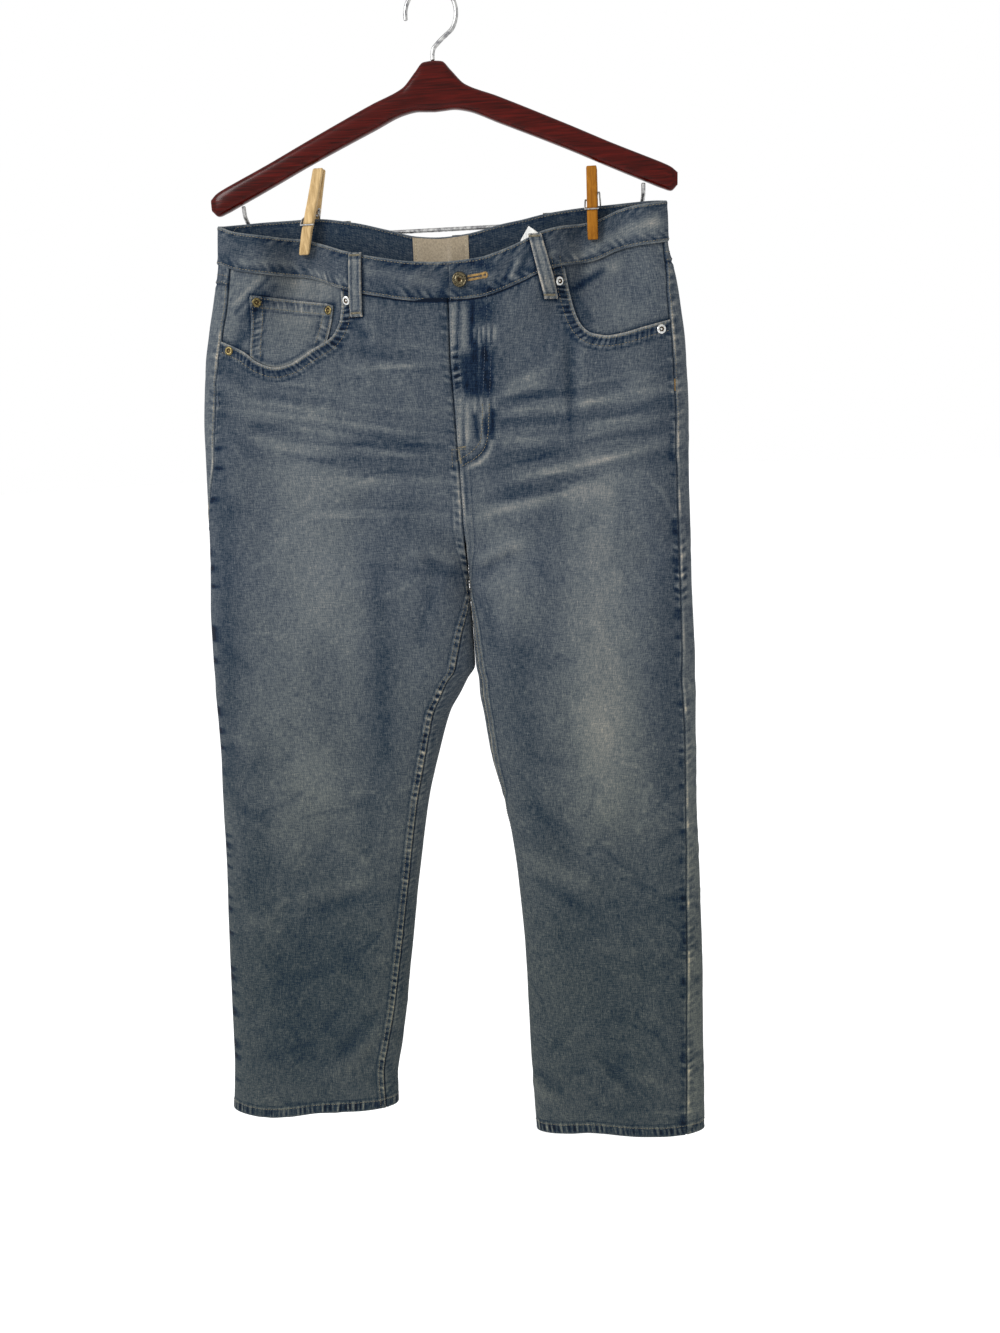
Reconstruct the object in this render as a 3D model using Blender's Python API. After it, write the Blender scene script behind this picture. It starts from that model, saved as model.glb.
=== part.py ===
"""Straight leg jeans, hung by the waistband from the trouser bar of a wooden suit hanger.

Two clothespins clamp the front and back of the waistband to the bar, so the waist is nearly
shut at the pins and gapes between them. Lengths below are in millimetres: x to the wearer's
left, y to the back, z up from the side corners of the waistband. The model's origin is the
inside top of the hanger's hook, and `build` moves every mesh there in metres.
"""
import bpy
import bmesh
import numpy as np
from mathutils import Vector

MM = 0.001

# ---------------------------------------------------------------- driving dimensions
HOOK_INSIDE_TOP = 198.0   # above the waistband's corners
SEAM_GAP = 0.3            # between neighbouring pieces
DENIM = 1.4               # wall of a panel
BAND_HEIGHT = 36.0
BAND_WALL = 2.4           # folded waistband
BAND_PROUD = 1.0          # the band stands this far outside the panels
CROTCH_Z = -356.0
RISE_TURN = 66.0          # the rise seams turn under over this height
EDGE_ROUND = 52.0         # width of the rounded side of a flattened tube
CROWN = 0.12              # extra depth at the middle of a panel
HEM_FOLD = 13.0
HEM_WALL = 2.2
BAR_DIAMETER = 4.0
BAR_Z = -12.0
PINNED_HALF = 2.9         # half depth of the waist where a pin clamps it
PINNED_Y = 3.6            # and how far back the pins pull it, against the bar
LOWEST_Z = -1022.0
SAG_ENDS_Z, SAG_FADE = -230.0, 190.0      # the top edge's sag fades out down the hips
FOLDS_BEGIN, FOLDS_FADE_IN = 30.0, 30.0   # the large folds start below the waistband

SIDES = {"right": -1, "left": 1}
# Where each clothespin clamps the band, and where its handles end.
PINS = {
    "right": {"x": -137.0, "lean": 0.24, "length": 79.0, "wood": "pale_wood"},
    "left": {"x": 148.0, "lean": -0.01, "length": 66.0, "wood": "orange_wood"},
}
PIN_BOTTOM = -30.0
PINCH_HALF_WIDTH = 7.0                    # the waist is flat this far to each side of a pin
PINCH_SPREAD, PINCH_WIDENS = 24.0, 0.4    # then it opens over this width, wider lower down
PINCH_ENDS_Z, PINCH_FADE = -125.0, 85.0


class Table:
    """Rows of sizes with named columns, read smoothly between the rows."""

    def __init__(self, names, rows):
        self.names = names.split()
        rows = np.array(sorted(rows), float)
        self.at, self.rows = rows[:, 0], rows

    def __call__(self, name, at):
        """The column at these places: a cubic through the rows that never overshoots."""
        value = self.rows[:, self.names.index(name)]
        at = np.clip(np.asarray(at, float), self.at[0], self.at[-1])
        step = np.diff(self.at)
        slope = np.diff(value) / step
        tangent = np.zeros(len(value))
        for i in range(1, len(value) - 1):
            if slope[i - 1] * slope[i] > 0:
                tangent[i] = 2 / (1 / slope[i - 1] + 1 / slope[i])
        tangent[0], tangent[-1] = slope[0], slope[-1]
        i = np.clip(np.searchsorted(self.at, at, side="right") - 1, 0, len(step) - 1)
        t, h = (at - self.at[i]) / step[i], step[i]
        return (
            value[i] * (1 + 2 * t) * (1 - t) ** 2
            + value[i + 1] * t * t * (3 - 2 * t)
            + h * tangent[i] * t * (1 - t) ** 2
            + h * tangent[i + 1] * t * t * (t - 1)
        )


# Outline from the front: outer and inner edge of each half, below the band's corners.
OUTLINE = Table("z right_out right_in left_in left_out", [
    (10, -218, 9, 9, 216),
    (0, -219, 9, 9, 217),
    (-36, -223, 9, 9, 219),
    (-70, -231, 9, 9, 227),
    (-100, -239, 9, 9, 232),
    (-130, -246, 10, 10, 236),
    (-200, -255, 12, 12, 239),
    (-300, -261, 14, 14, 241),
    (-356, -266, 14, 14, 243),
    (-400, -270, 15.4, 16.6, 245),
    (-450, -272, 15.5, 19, 247),
    (-463, -272, 9, 19.5, 247),
    (-480, -273, 0, 20, 248),
    (-500, -273, -12, 23, 248),
    (-550, -274, -28, 30, 249),
    (-600, -277, -41, 43, 250),
    (-700, -283, -58, 55, 254),
    (-800, -290, -73, 60, 258),
    (-900, -296, -88, 62, 260),
    (-945, -299, -97, 63, 261),
    (-1022, -308, -101, 66, 262),
])
# Outline from the side: half the depth front to back, and where its middle lies.
DEPTH = Table("z half middle", [
    (10, 13.5, -12.2),
    (-36, 13.5, -12.2),
    (-70, 16, -12),
    (-120, 20.5, -10.5),
    (-200, 24, -8),
    (-300, 25, -6),
    (-450, 24, -4),
    (-600, 22, -3),
    (-800, 20, -1),
    (-1022, 18, 0),
])
# How far in front of the outline each seam lies; a negative one lies behind.
SEAMS = Table("z right_out right_in left_in left_out", [
    (0, 14, 0, 0, 4),
    (-36, 14, 0, 0, 4),
    (-85, 18, 0, 0, 11),
    (-138, 18, 0, 0, 13),
    (-221, 15, 0, 0, 13),
    (-253, 9, 0, 0, 12),
    (-300, 0, 0, 0, 12),
    (-370, -7, 0, 0, 12),
    (-420, -9, 12, 3, 13),
    (-463, -10, 20, 5, 14),
    (-523, -12, 14, 4, 12),
    (-594, -13, 11, 0, 12),
    (-700, -14, 10, -8, 15),
    (-850, -15, 12, -12, 19),
    (-917, -15, 15, -13, 20),
    (-1022, -15, 11, -14, 22),
])
# Top edge of the waistband across the front and across the back.
TOP_EDGE_FRONT = Table("x z", [
    (-218, -1), (-199, -8), (-165, -13), (-140, -15), (-116, -22), (-90, -31), (-60, -38),
    (-20, -44), (10, -45), (40, -43), (60, -38), (80, -31), (102, -22), (122, -17),
    (148, -13), (172, -6), (217, -1),
])
TOP_EDGE_BACK = Table("x z", [
    (-218, 0), (-172, 3), (-130, 4), (-87, -2), (-51, -11), (-24, -18), (0, -20), (26, -18),
    (59, -11), (79, -8), (107, -3), (150, 1), (198, 2), (217, 1),
])
# Bottom edge of each leg.
HEMS = {
    "right": Table("x z", [(-306, -1006), (-258, -1007), (-229, -1004), (-192, -997), (-97, -989)]),
    "left": Table("x z", [(65, -1017), (105, -1010), (132, -1007), (186, -1009), (262, -1005)]),
}
# Front pocket openings, from the waistband round to the outseam.
POCKET_MOUTHS = {
    "right": [(-96, -60), (-98, -80), (-101, -93), (-110, -110), (-129, -122), (-151, -134),
              (-166, -137), (-183, -132), (-198, -121), (-222, -110)],
    "left": [(118, -40), (121, -60), (127, -87), (135, -107), (146, -117), (162, -120),
             (177, -118), (197, -113), (222, -107)],
}
# Large folds: a ridge (height over 0) or trough along a line, on the front or the back.
FOLDS = [
    # face, x0, z0, x1, z1, width, height
    ("front", -225, -118, -150, -70, 12, -2.5),
    ("front", -238, -175, -120, -215, 16, -2.5),
    ("front", -236, -215, -95, -262, 15, 2.2),
    ("front", -228, -262, -80, -312, 15, -2.4),
    ("front", -215, -330, -70, -372, 18, 2.2),
    ("front", 125, -122, 128, -182, 9, -3.0),
    ("front", 226, -190, 110, -222, 14, 2.2),
    ("front", 222, -232, 92, -275, 15, -2.4),
    ("front", 214, -288, 84, -338, 16, 2.2),
    ("front", 185, -292, 205, -345, 12, -2.6),
    ("front", 60, -36, 112, -66, 12, 3.0),
    ("front", -118, -66, -60, -40, 14, 2.5),
    ("front", -55, -330, -10, -352, 12, -3.0),
    ("front", 80, -330, 30, -352, 12, -3.0),
    ("front", -190, -400, -176, -650, 40, 3.5),
    ("front", 140, -410, 150, -640, 36, 3.5),
    ("front", -115, -905, -150, -932, 16, -3.0),
    ("front", -255, -700, -205, -735, 18, -2.0),
    ("front", 90, -640, 140, -662, 16, -2.2),
    ("back", -200, -335, -60, -372, 16, -3.0),
    ("back", -190, -372, -50, -405, 15, 2.5),
    ("back", 190, -330, 70, -368, 16, -3.0),
    ("back", 180, -366, 66, -400, 15, 2.5),
    ("back", -235, -255, -170, -292, 14, -2.2),
    ("back", 225, -250, 165, -290, 14, -2.2),
    ("back", -190, -660, -120, -690, 20, -3.0),
    ("back", -230, -700, -150, -722, 18, 2.5),
    ("back", 210, -655, 130, -690, 20, -3.0),
    ("back", 200, -700, 120, -716, 18, 2.5),
]


def smooth_step(t):
    t = np.clip(t, 0.0, 1.0)
    return t * t * (3 - 2 * t)


def round_end(t):
    """A quarter of a circle, from 0 at the tip to 1."""
    return np.sqrt(np.clip(1 - (1 - np.clip(t, 0.0, 1.0)) ** 2, 0.0, 1.0))


def fold_height(x, z, front):
    """How far the folds lift the cloth here; `front` is 1 on the front, 0 on the back."""
    total = np.zeros_like(x)
    for face, x0, z0, x1, z1, width, height in FOLDS:
        run = np.array([x1 - x0, z1 - z0], float)
        length = np.hypot(*run)
        along = ((x - x0) * run[0] + (z - z0) * run[1]) / length**2
        off = ((x - x0) * run[1] - (z - z0) * run[0]) / length
        ends = smooth_step((along + 0.15) / 0.35) * smooth_step((1.15 - along) / 0.35)
        side = front if face == "front" else 1 - front
        total += side * height * ends * np.exp(-((off / width) ** 2))
    return total


class Skin:
    """The outer face of one half of the jeans.

    A place on it is (u, z): u runs from the inner edge (0) over the front to the outer
    edge (1) and over the back to the inner edge again (2). On a leg the tube is closed.
    """

    COLUMNS = 192
    # Rows of the master grid: from, to, step.
    STRETCHES = [(12, -150, -3.0), (-150, -300, -6.0), (-300, -370, -2.0), (-370, LOWEST_Z - 1, -8.0)]

    def __init__(self, side):
        self.side = side
        self.sign = SIDES[side]
        self.z = np.concatenate([np.arange(*stretch) for stretch in self.STRETCHES])[::-1]
        u, z = np.meshgrid(np.linspace(0, 2, self.COLUMNS + 1), self.z)
        closed = smooth_step((CROTCH_Z + RISE_TURN - z) / RISE_TURN)
        outer = OUTLINE(side + "_out", z)
        inner = OUTLINE(side + "_in", z) + self.sign * SEAM_GAP / 2
        width = np.abs(outer - inner)
        half_turn = (1 - np.cos(np.pi * u)) / 2
        quarter_turn = np.sin(np.pi * np.minimum(u, 2 - u) / 2)
        across = closed * half_turn + (1 - closed) * quarter_turn
        x = inner + (outer - inner) * across
        from_outer, from_inner = width * (1 - across), width * across
        reach = np.minimum(EDGE_ROUND, width / 2)
        round_in = closed * round_end(from_inner / reach)
        round_in += (1 - closed) * smooth_step(from_inner / reach)
        depth = DEPTH("half", z) * (1 + CROWN * np.sin(np.pi * across))
        depth = depth * round_end(from_outer / reach) * (1 - closed + closed * round_in)
        face = np.where(u < 1, -1.0, 1.0)
        y = DEPTH("middle", z) + face * depth
        y = self.pinched(x, y, z, face * depth / DEPTH("half", z))
        front = smooth_step(0.5 - face * depth / DEPTH("half", z) * 0.8)
        hang = smooth_step((z - SAG_ENDS_Z) / SAG_FADE)
        sag = front * TOP_EDGE_FRONT("z", x) + (1 - front) * TOP_EDGE_BACK("z", x)
        points = np.stack([x, y, z + sag * hang], axis=-1)
        self.points = points
        self.closed = closed[:, 0] > 0.999
        self.set_normals()
        lift = fold_height(x, points[..., 2], front)
        lift = lift * smooth_step((-z - FOLDS_BEGIN) / FOLDS_FADE_IN)
        self.points = points + self.normals * lift[..., None]
        self.set_normals()

    def pinched(self, x, y, z, share):
        """The clothespins press the front and the back of the waist together."""
        for pin in PINS.values():
            spread = PINCH_SPREAD + np.clip(-BAND_HEIGHT - z, 0, None) * PINCH_WIDENS
            beyond = np.clip(np.abs(x - pin["x"]) - PINCH_HALF_WIDTH, 0, None)
            hold = np.exp(-((beyond / spread) ** 2)) * smooth_step((z - PINCH_ENDS_Z) / PINCH_FADE)
            y = y + (PINNED_Y + share * PINNED_HALF - y) * hold
        return y

    def set_normals(self):
        p = self.points
        along_u = np.gradient(p, axis=1)
        wrap = p[:, 1] - p[:, -2]
        along_u[self.closed, 0] = wrap[self.closed] / 2
        along_u[self.closed, -1] = wrap[self.closed] / 2
        along_z = np.gradient(p, axis=0)
        n = np.cross(along_u, along_z) * self.sign
        self.normals = n / np.linalg.norm(n, axis=-1, keepdims=True)

    def at(self, u, z, out=0.0):
        """The points at (u, z), moved out from the cloth's face."""
        u, z = np.broadcast_arrays(np.asarray(u, float), np.asarray(z, float))
        u = np.where(u < 0, u + 2, np.where(u > 2, u - 2, u))
        i = np.clip(np.searchsorted(self.z, z, side="right") - 1, 0, len(self.z) - 2)
        s = np.clip((z - self.z[i]) / (self.z[i + 1] - self.z[i]), 0, 1)[..., None]
        k = u / 2 * self.COLUMNS
        j = np.clip(k.astype(int), 0, self.COLUMNS - 1)
        t = (k - j)[..., None]

        def mix(a):
            low = a[i, j] * (1 - t) + a[i, j + 1] * t
            high = a[i + 1, j] * (1 - t) + a[i + 1, j + 1] * t
            return low * (1 - s) + high * s

        n = mix(self.normals)
        n = n / np.linalg.norm(n, axis=-1, keepdims=True)
        return mix(self.points) + n * np.asarray(out, float)[..., None]

    def seam(self, edge, z):
        """u of the outseam or inseam at these heights."""
        z = np.asarray(z, float)
        inset = SEAMS(f"{self.side}_{edge}", z)
        found = np.zeros(len(z))
        centre = 1.0 if edge == "out" else 0.0
        forward = -1.0 if edge == "out" else 1.0
        reach = np.linspace(0, 0.5, 400)
        for n, (height, far) in enumerate(zip(z, inset)):
            tip = self.at(centre, height)[0]
            u = centre + forward * np.sign(far) * reach
            gone = np.abs(self.at(u, height)[:, 0] - tip)
            found[n] = np.interp(abs(far), gone, u) if far else centre
        return found

    def on_face(self, face, x, z):
        """(u, row height) of the place on the front or back with this x and z."""
        x, z = np.broadcast_arrays(np.asarray(x, float), np.asarray(z, float))
        u, row = np.full(x.shape, 0.5), z.astype(float).copy()
        for _ in range(40):
            sampled = u if face == "front" else 2 - u
            p = self.at(sampled, row)
            row = row + (z - p[..., 2]) * 0.8
            step = 0.01
            other = self.at(sampled + (step if face == "front" else -step), row)
            slope = (other[..., 0] - p[..., 0]) / step
            slope = np.where(np.abs(slope) < 20, 20 * self.sign, slope)
            u = np.clip(u + np.clip((x - p[..., 0]) / slope, -0.1, 0.1) * 0.8, 0.005, 0.985)
        return (u if face == "front" else 2 - u), row


SKINS = {side: Skin(side) for side in SIDES}

# ---------------------------------------------------------------- meshes
FINISHES = {
    # name: (red, green, blue), roughness, metallic
    "denim": ((0.088, 0.124, 0.170), 0.9, 0.0),
    "dark_metal": ((0.10, 0.075, 0.05), 0.4, 1.0),
    "bright_metal": ((0.62, 0.62, 0.60), 0.3, 1.0),
    "label_cloth": ((0.40, 0.35, 0.27), 0.8, 0.0),
    "white_cloth": ((0.75, 0.75, 0.72), 0.8, 0.0),
    "zip_tape": ((0.03, 0.05, 0.09), 0.8, 0.0),
    "dark_wood": ((0.030, 0.012, 0.010), 0.35, 0.0),
    "pale_wood": ((0.66, 0.46, 0.25), 0.6, 0.0),
    "orange_wood": ((0.56, 0.27, 0.06), 0.6, 0.0),
    "steel": ((0.55, 0.55, 0.55), 0.3, 1.0),
}


def material(finish):
    """One Principled material for each finish, made once."""
    made = bpy.data.materials.get(finish)
    if made:
        return made
    colour, roughness, metallic = FINISHES[finish]
    made = bpy.data.materials.new(finish)
    made.use_nodes = True
    shader = made.node_tree.nodes["Principled BSDF"]
    shader.inputs["Base Color"].default_value = (*colour, 1)
    shader.inputs["Roughness"].default_value = roughness
    shader.inputs["Metallic"].default_value = metallic
    return made


def build(name, points, faces, finish, smooth=40):
    """A named object from points in millimetres, moved so that the hook is the origin."""
    points = (np.asarray(points, float) - (0, 0, HOOK_INSIDE_TOP)) * MM
    mesh = bpy.data.meshes.new(name)
    mesh.from_pydata([tuple(p) for p in points], [], faces)
    bm = bmesh.new()
    bm.from_mesh(mesh)
    bmesh.ops.remove_doubles(bm, verts=bm.verts, dist=1e-6)
    bmesh.ops.recalc_face_normals(bm, faces=bm.faces)
    bm.to_mesh(mesh)
    bm.free()
    mesh.shade_smooth()
    mesh.set_sharp_from_angle(angle=np.radians(smooth))
    mesh.materials.append(material(finish))
    piece = bpy.data.objects.new(name, mesh)
    bpy.context.scene.collection.objects.link(piece)
    return piece


def grid_faces(rows, columns, start=0, ring=False):
    """Quads of a grid of points; a ring's last column joins its first."""
    last = columns if ring else columns - 1
    return [
        (start + r * columns + c, start + r * columns + (c + 1) % columns,
         start + (r + 1) * columns + (c + 1) % columns, start + (r + 1) * columns + c)
        for r in range(rows - 1) for c in range(last)
    ]


def halved(quads):
    """Triangles, with the same diagonal in every layer, so that layers stay parallel."""
    return [t for a, b, c, d in quads for t in ((a, b, c), (a, c, d))]


def wall(name, outer, inner, finish):
    """A closed sheet between two grids of points of the same size."""
    rows, columns = outer.shape[:2]
    count = rows * columns
    points = np.concatenate([outer.reshape(-1, 3), inner.reshape(-1, 3)])
    faces = halved(grid_faces(rows, columns))
    faces += [f[::-1] for f in halved(grid_faces(rows, columns, count))]
    edge = [(0, c) for c in range(columns)] + [(r, columns - 1) for r in range(1, rows)]
    edge += [(rows - 1, c) for c in range(columns - 2, -1, -1)]
    edge += [(r, 0) for r in range(rows - 2, 0, -1)]
    rim = [r * columns + c for r, c in edge]
    for a, b in zip(rim, rim[1:] + rim[:1]):
        # The diagonal runs from the upper row's outer point, so that facing rims match.
        if a <= b:
            faces += [(b, a, b + count), (a, a + count, b + count)]
        else:
            faces += [(b, a, a + count), (b, a + count, b + count)]
    return build(name, points, faces, finish)


def tube(name, path, radius, finish, sides=10):
    """A round wire along a path, with flat ends."""
    path = np.asarray(path, float)
    ahead = np.gradient(path, axis=0)
    ahead /= np.linalg.norm(ahead, axis=1, keepdims=True)
    across = np.cross(ahead[0], (0, 1, 0))
    if np.linalg.norm(across) < 0.1:
        across = np.cross(ahead[0], (1, 0, 0))
    rings = []
    for point, forward in zip(path, ahead):
        across = across - forward * (across @ forward)
        across /= np.linalg.norm(across)
        other = np.cross(forward, across)
        angles = np.arange(sides) * 2 * np.pi / sides
        rings.append([point + radius * (np.cos(a) * across + np.sin(a) * other) for a in angles])
    faces = grid_faces(len(path), sides, ring=True)
    first, last = list(range(sides)), [(len(path) - 1) * sides + k for k in range(sides)]
    return build(name, np.array(rings).reshape(-1, 3), faces + [first[::-1], last], finish)


def turned(name, profile, centre, normal, finish, sides=14):
    """A button or rivet: a profile of (radius, height) turned round the cloth's normal."""
    turn = Vector((0, 0, 1)).rotation_difference(Vector(normal)).to_matrix()
    points = []
    for radius, height in profile:
        for k in range(sides):
            angle = 2 * np.pi * k / sides
            spot = turn @ Vector((radius * np.cos(angle), radius * np.sin(angle), height))
            points.append(np.array(spot) + centre)
    faces = grid_faces(len(profile), sides, ring=True)
    first, last = list(range(sides)), [(len(profile) - 1) * sides + k for k in range(sides)]
    return build(name, points, faces + [first[::-1], last], finish)


# ---------------------------------------------------------------- panels
PANEL_COLUMNS = 13
YOKE_SIDE_Z, YOKE_MIDDLE_Z = -54.0, -102.0
PANEL_ROWS = np.concatenate([
    [-BAND_HEIGHT], np.linspace(YOKE_SIDE_Z, -122, 6), np.linspace(-138, -285, 7),
    np.linspace(-300, CROTCH_Z, 6), np.linspace(-366, -440, 4), np.linspace(-463, -523, 4),
    np.linspace(-560, -940, 9), [-985.0, -1000.0],
])
HEM_DROP_FROM_Z = -820.0      # rows below this follow the hem's slant
YOKE_SLANT_ENDS_Z = -260.0    # rows of the back above this follow the yoke's seam
BEYOND_X, ABOVE_Z = 290.0, -20.0   # a cutter's corner outside the garment


def hem_wall(z_from_hem):
    """The wall is thicker where the hem is folded up."""
    return DENIM + (HEM_WALL - DENIM) * smooth_step((HEM_FOLD + 2 - z_from_hem) / 2)


def panel_grid(side, face, top=None):
    """u and row height of each point of a front or back panel, trimmed for the seams.

    A panel with its own top edge starts at the second row, which is that edge's outer end.
    """
    skin = SKINS[side]
    rows = PANEL_ROWS if top is None else PANEL_ROWS[1:]
    front = face == "front"
    start = skin.seam("in", rows) if front else skin.seam("out", rows)
    end = skin.seam("out", rows) if front else skin.seam("in", rows) + 2
    share = np.linspace(0, 1, PANEL_COLUMNS + 1)
    u = start[:, None] + (end - start)[:, None] * share
    z = np.repeat(rows[:, None], PANEL_COLUMNS + 1, axis=1)
    drop = smooth_step((HEM_DROP_FROM_Z - rows) / (HEM_DROP_FROM_Z - rows[-1]))[:, None]
    for _ in range(2):
        hem = HEMS[side]("z", skin.at(u, z)[..., 0])
        z = rows[:, None] + (hem - rows[-1]) * drop
        z[-2] = z[-1] + rows[-2] - rows[-1]
    if top is None:
        z[0] -= SEAM_GAP
    else:
        shift = top(skin.at(u, z)[..., 0]) - YOKE_SIDE_Z
        fade = smooth_step((rows - YOKE_SLANT_ENDS_Z) / (rows[0] - YOKE_SLANT_ENDS_Z))
        z = z + shift * fade[:, None]
    p = skin.at(u, z)
    for column, inward in ((0, 1), (-1, -1)):
        beside = column + inward
        size = np.linalg.norm(p[:, column] - p[:, beside], axis=1)
        u[:, column] += (u[:, beside] - u[:, column]) * (SEAM_GAP / 2) / size
    return u, z


def panel(name, side, face, top=None, out=0.0, thick=None, finish="denim"):
    """A whole leg panel as a wall, its outer face `out` from the cloth's own face."""
    u, z = panel_grid(side, face, top)
    outer = SKINS[side].at(u, z, np.full(u.shape, out))
    wide = hem_wall(z - z[-1]) if thick is None else np.full(u.shape, thick)
    return wall(name, outer, SKINS[side].at(u, z, out - wide), finish)


def prism(name, outline, face="front"):
    """A cutter for the front or back: an outline in x and z, pushed through in y."""
    count = len(outline)
    reach = (-90.0, PINNED_Y - 0.5) if face == "front" else (0.0, 90.0)
    points = [(x, y, z) for y in reach for x, z in outline]
    faces = [tuple(range(count)), tuple(range(2 * count - 1, count - 1, -1))]
    faces += [(k, k + count, (k + 1) % count + count, (k + 1) % count) for k in range(count)]
    made = build(name, points, faces, "denim")
    made.hide_render = True
    made.display_type = "WIRE"
    return made


def cut(piece, cutter, operation, solver="EXACT"):
    step = piece.modifiers.new(operation.lower(), "BOOLEAN")
    step.operation = operation
    step.solver = solver
    step.object = cutter
    return piece


def moved_mouth(side, out_by):
    """The pocket's mouth, moved into the panel (or out of it if negative)."""
    line = np.array(POCKET_MOUTHS[side], float)
    run = np.gradient(line, axis=0)
    run /= np.linalg.norm(run, axis=1, keepdims=True)
    away = np.stack([-run[:, 1], run[:, 0]], axis=1) * SIDES[side]
    return line - away * out_by


def mouth_outline(side, out_by=0.0):
    """The area that the mouth opens, closed above the band and outside the outseam."""
    line = moved_mouth(side, out_by)
    far = SIDES[side] * BEYOND_X
    return [tuple(p) for p in line] + [(far, line[-1, 1] + 8), (far, ABOVE_Z), (line[0, 0], ABOVE_Z)]


def yoke_edge(side):
    """Height of the seam under the back yoke: lowest at the centre back."""
    tip = float(SKINS[side].at(SKINS[side].seam("out", [YOKE_SIDE_Z])[0], YOKE_SIDE_Z)[0])
    middle = float(OUTLINE("right_in", -60.0))

    def height(x):
        far = np.clip((x - middle) / (tip - middle), 0, 1)
        return YOKE_MIDDLE_Z + (YOKE_SIDE_Z - YOKE_MIDDLE_Z) * far

    return height


def make_panels():
    for side in SIDES:
        front = panel(f"front_{side}", side, "front")
        cut(front, prism(f"mouth_{side}", mouth_outline(side)), "DIFFERENCE")
        yoke = yoke_edge(side)

        def under_yoke(x, edge=yoke):
            return edge(x) - SEAM_GAP

        panel(f"back_{side}", side, "back", top=under_yoke)
        make_yoke(side, yoke)
        make_facing(side)
        make_back_pocket(side, under_yoke)


def make_yoke(side, yoke):
    """The piece between the waistband and the back: deepest at the centre."""
    skin = SKINS[side]
    share = np.linspace(0, 1, 4)[:, None]
    start = np.repeat(skin.seam("out", PANEL_ROWS[:1]), 4)
    columns = np.linspace(0, 1, PANEL_COLUMNS + 1)
    for _ in range(4):
        u = start[:, None] + (2 - start)[:, None] * columns
        bottom = yoke(skin.at(u, -70.0 + 0 * u)[..., 0])
        z = (-BAND_HEIGHT - SEAM_GAP) * (1 - share) + bottom * share
        start = skin.seam("out", z[:, 0])
    size = np.linalg.norm(skin.at(u, z)[:, 0] - skin.at(u, z)[:, 1], axis=1)
    u[:, 0] += (u[:, 1] - u[:, 0]) * (SEAM_GAP / 2) / size
    wall(f"yoke_{side}", skin.at(u, z), skin.at(u, z, np.full(u.shape, -DENIM)), "denim")


FACING_DEPTH = DENIM + SEAM_GAP   # the facing's outer face lies this far inside
FACING_WALL = 1.2
FACING_REACH = 16.0               # how far it goes on under the front


def make_facing(side):
    facing = panel(f"pocket_facing_{side}", side, "front", out=-FACING_DEPTH, thick=FACING_WALL)
    guide = prism(f"facing_area_{side}", mouth_outline(side, FACING_REACH))
    cut(facing, guide, "INTERSECT")


COIN_TOP = [(-109, -78), (-190, -67)]   # top corners, from the middle outwards
COIN_SIDES = (-192.0, -115.0)           # where its sides go under the mouth's edge
COIN_WALL = 1.0
COIN_MARGIN = 0.6   # between the coin pocket and the edge of the mouth


def make_coin_pocket():
    """A patch on the facing, as far down as the mouth shows it."""
    outside = -FACING_DEPTH + SEAM_GAP + COIN_WALL
    pocket = panel("coin_pocket", "right", "front", out=outside, thick=COIN_WALL)
    mouth = moved_mouth("right", -COIN_MARGIN)[::-1]
    inner = [tuple(p) for p in mouth if COIN_SIDES[0] < p[0] < COIN_SIDES[1]]
    ends = [(x, float(np.interp(x, mouth[:, 0], mouth[:, 1]))) for x in COIN_SIDES]
    outline = COIN_TOP + [ends[0]] + inner + [ends[1]]
    cut(pocket, prism("coin_area", outline), "INTERSECT", solver="MANIFOLD")


BACK_POCKET = {"centre": 112.0, "top": -128.0, "width": 150.0, "low_width": 128.0,
               "side_height": 142.0, "point": 22.0, "wall": 1.4, "tilt": 8.0}


def make_back_pocket(side, yoke):
    """A plain five-sided patch, its top edge tilted with the yoke."""
    size = BACK_POCKET
    sign = SIDES[side]
    middle = OUTLINE("right_in", -200.0) + sign * size["centre"]
    top, low = size["width"] / 2, size["low_width"] / 2
    tilt, foot = size["tilt"] / 2, size["top"] - size["side_height"]
    outline = [
        (middle - sign * top, size["top"] - tilt), (middle + sign * top, size["top"] + tilt),
        (middle + sign * low, foot + tilt / 2), (middle, foot - size["point"]),
        (middle - sign * low, foot - tilt / 2),
    ]
    pocket = panel(f"back_pocket_{side}", side, "back", top=yoke,
                   out=SEAM_GAP + size["wall"], thick=size["wall"])
    cut(pocket, prism(f"back_pocket_area_{side}", outline, "back"), "INTERSECT")


# ---------------------------------------------------------------- waistband
FLAP_EDGE_X = 9.0
FLAP_CLEAR = 0.6  # from the fly's edge to each end of the strip's two halves
UNDERLAP = 34.0   # how far the lower end runs on under the buttoned one
DIVE_FROM_X, DIVE = -34.0, 34.0   # where the lower end starts to pass under, and over what width


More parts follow.
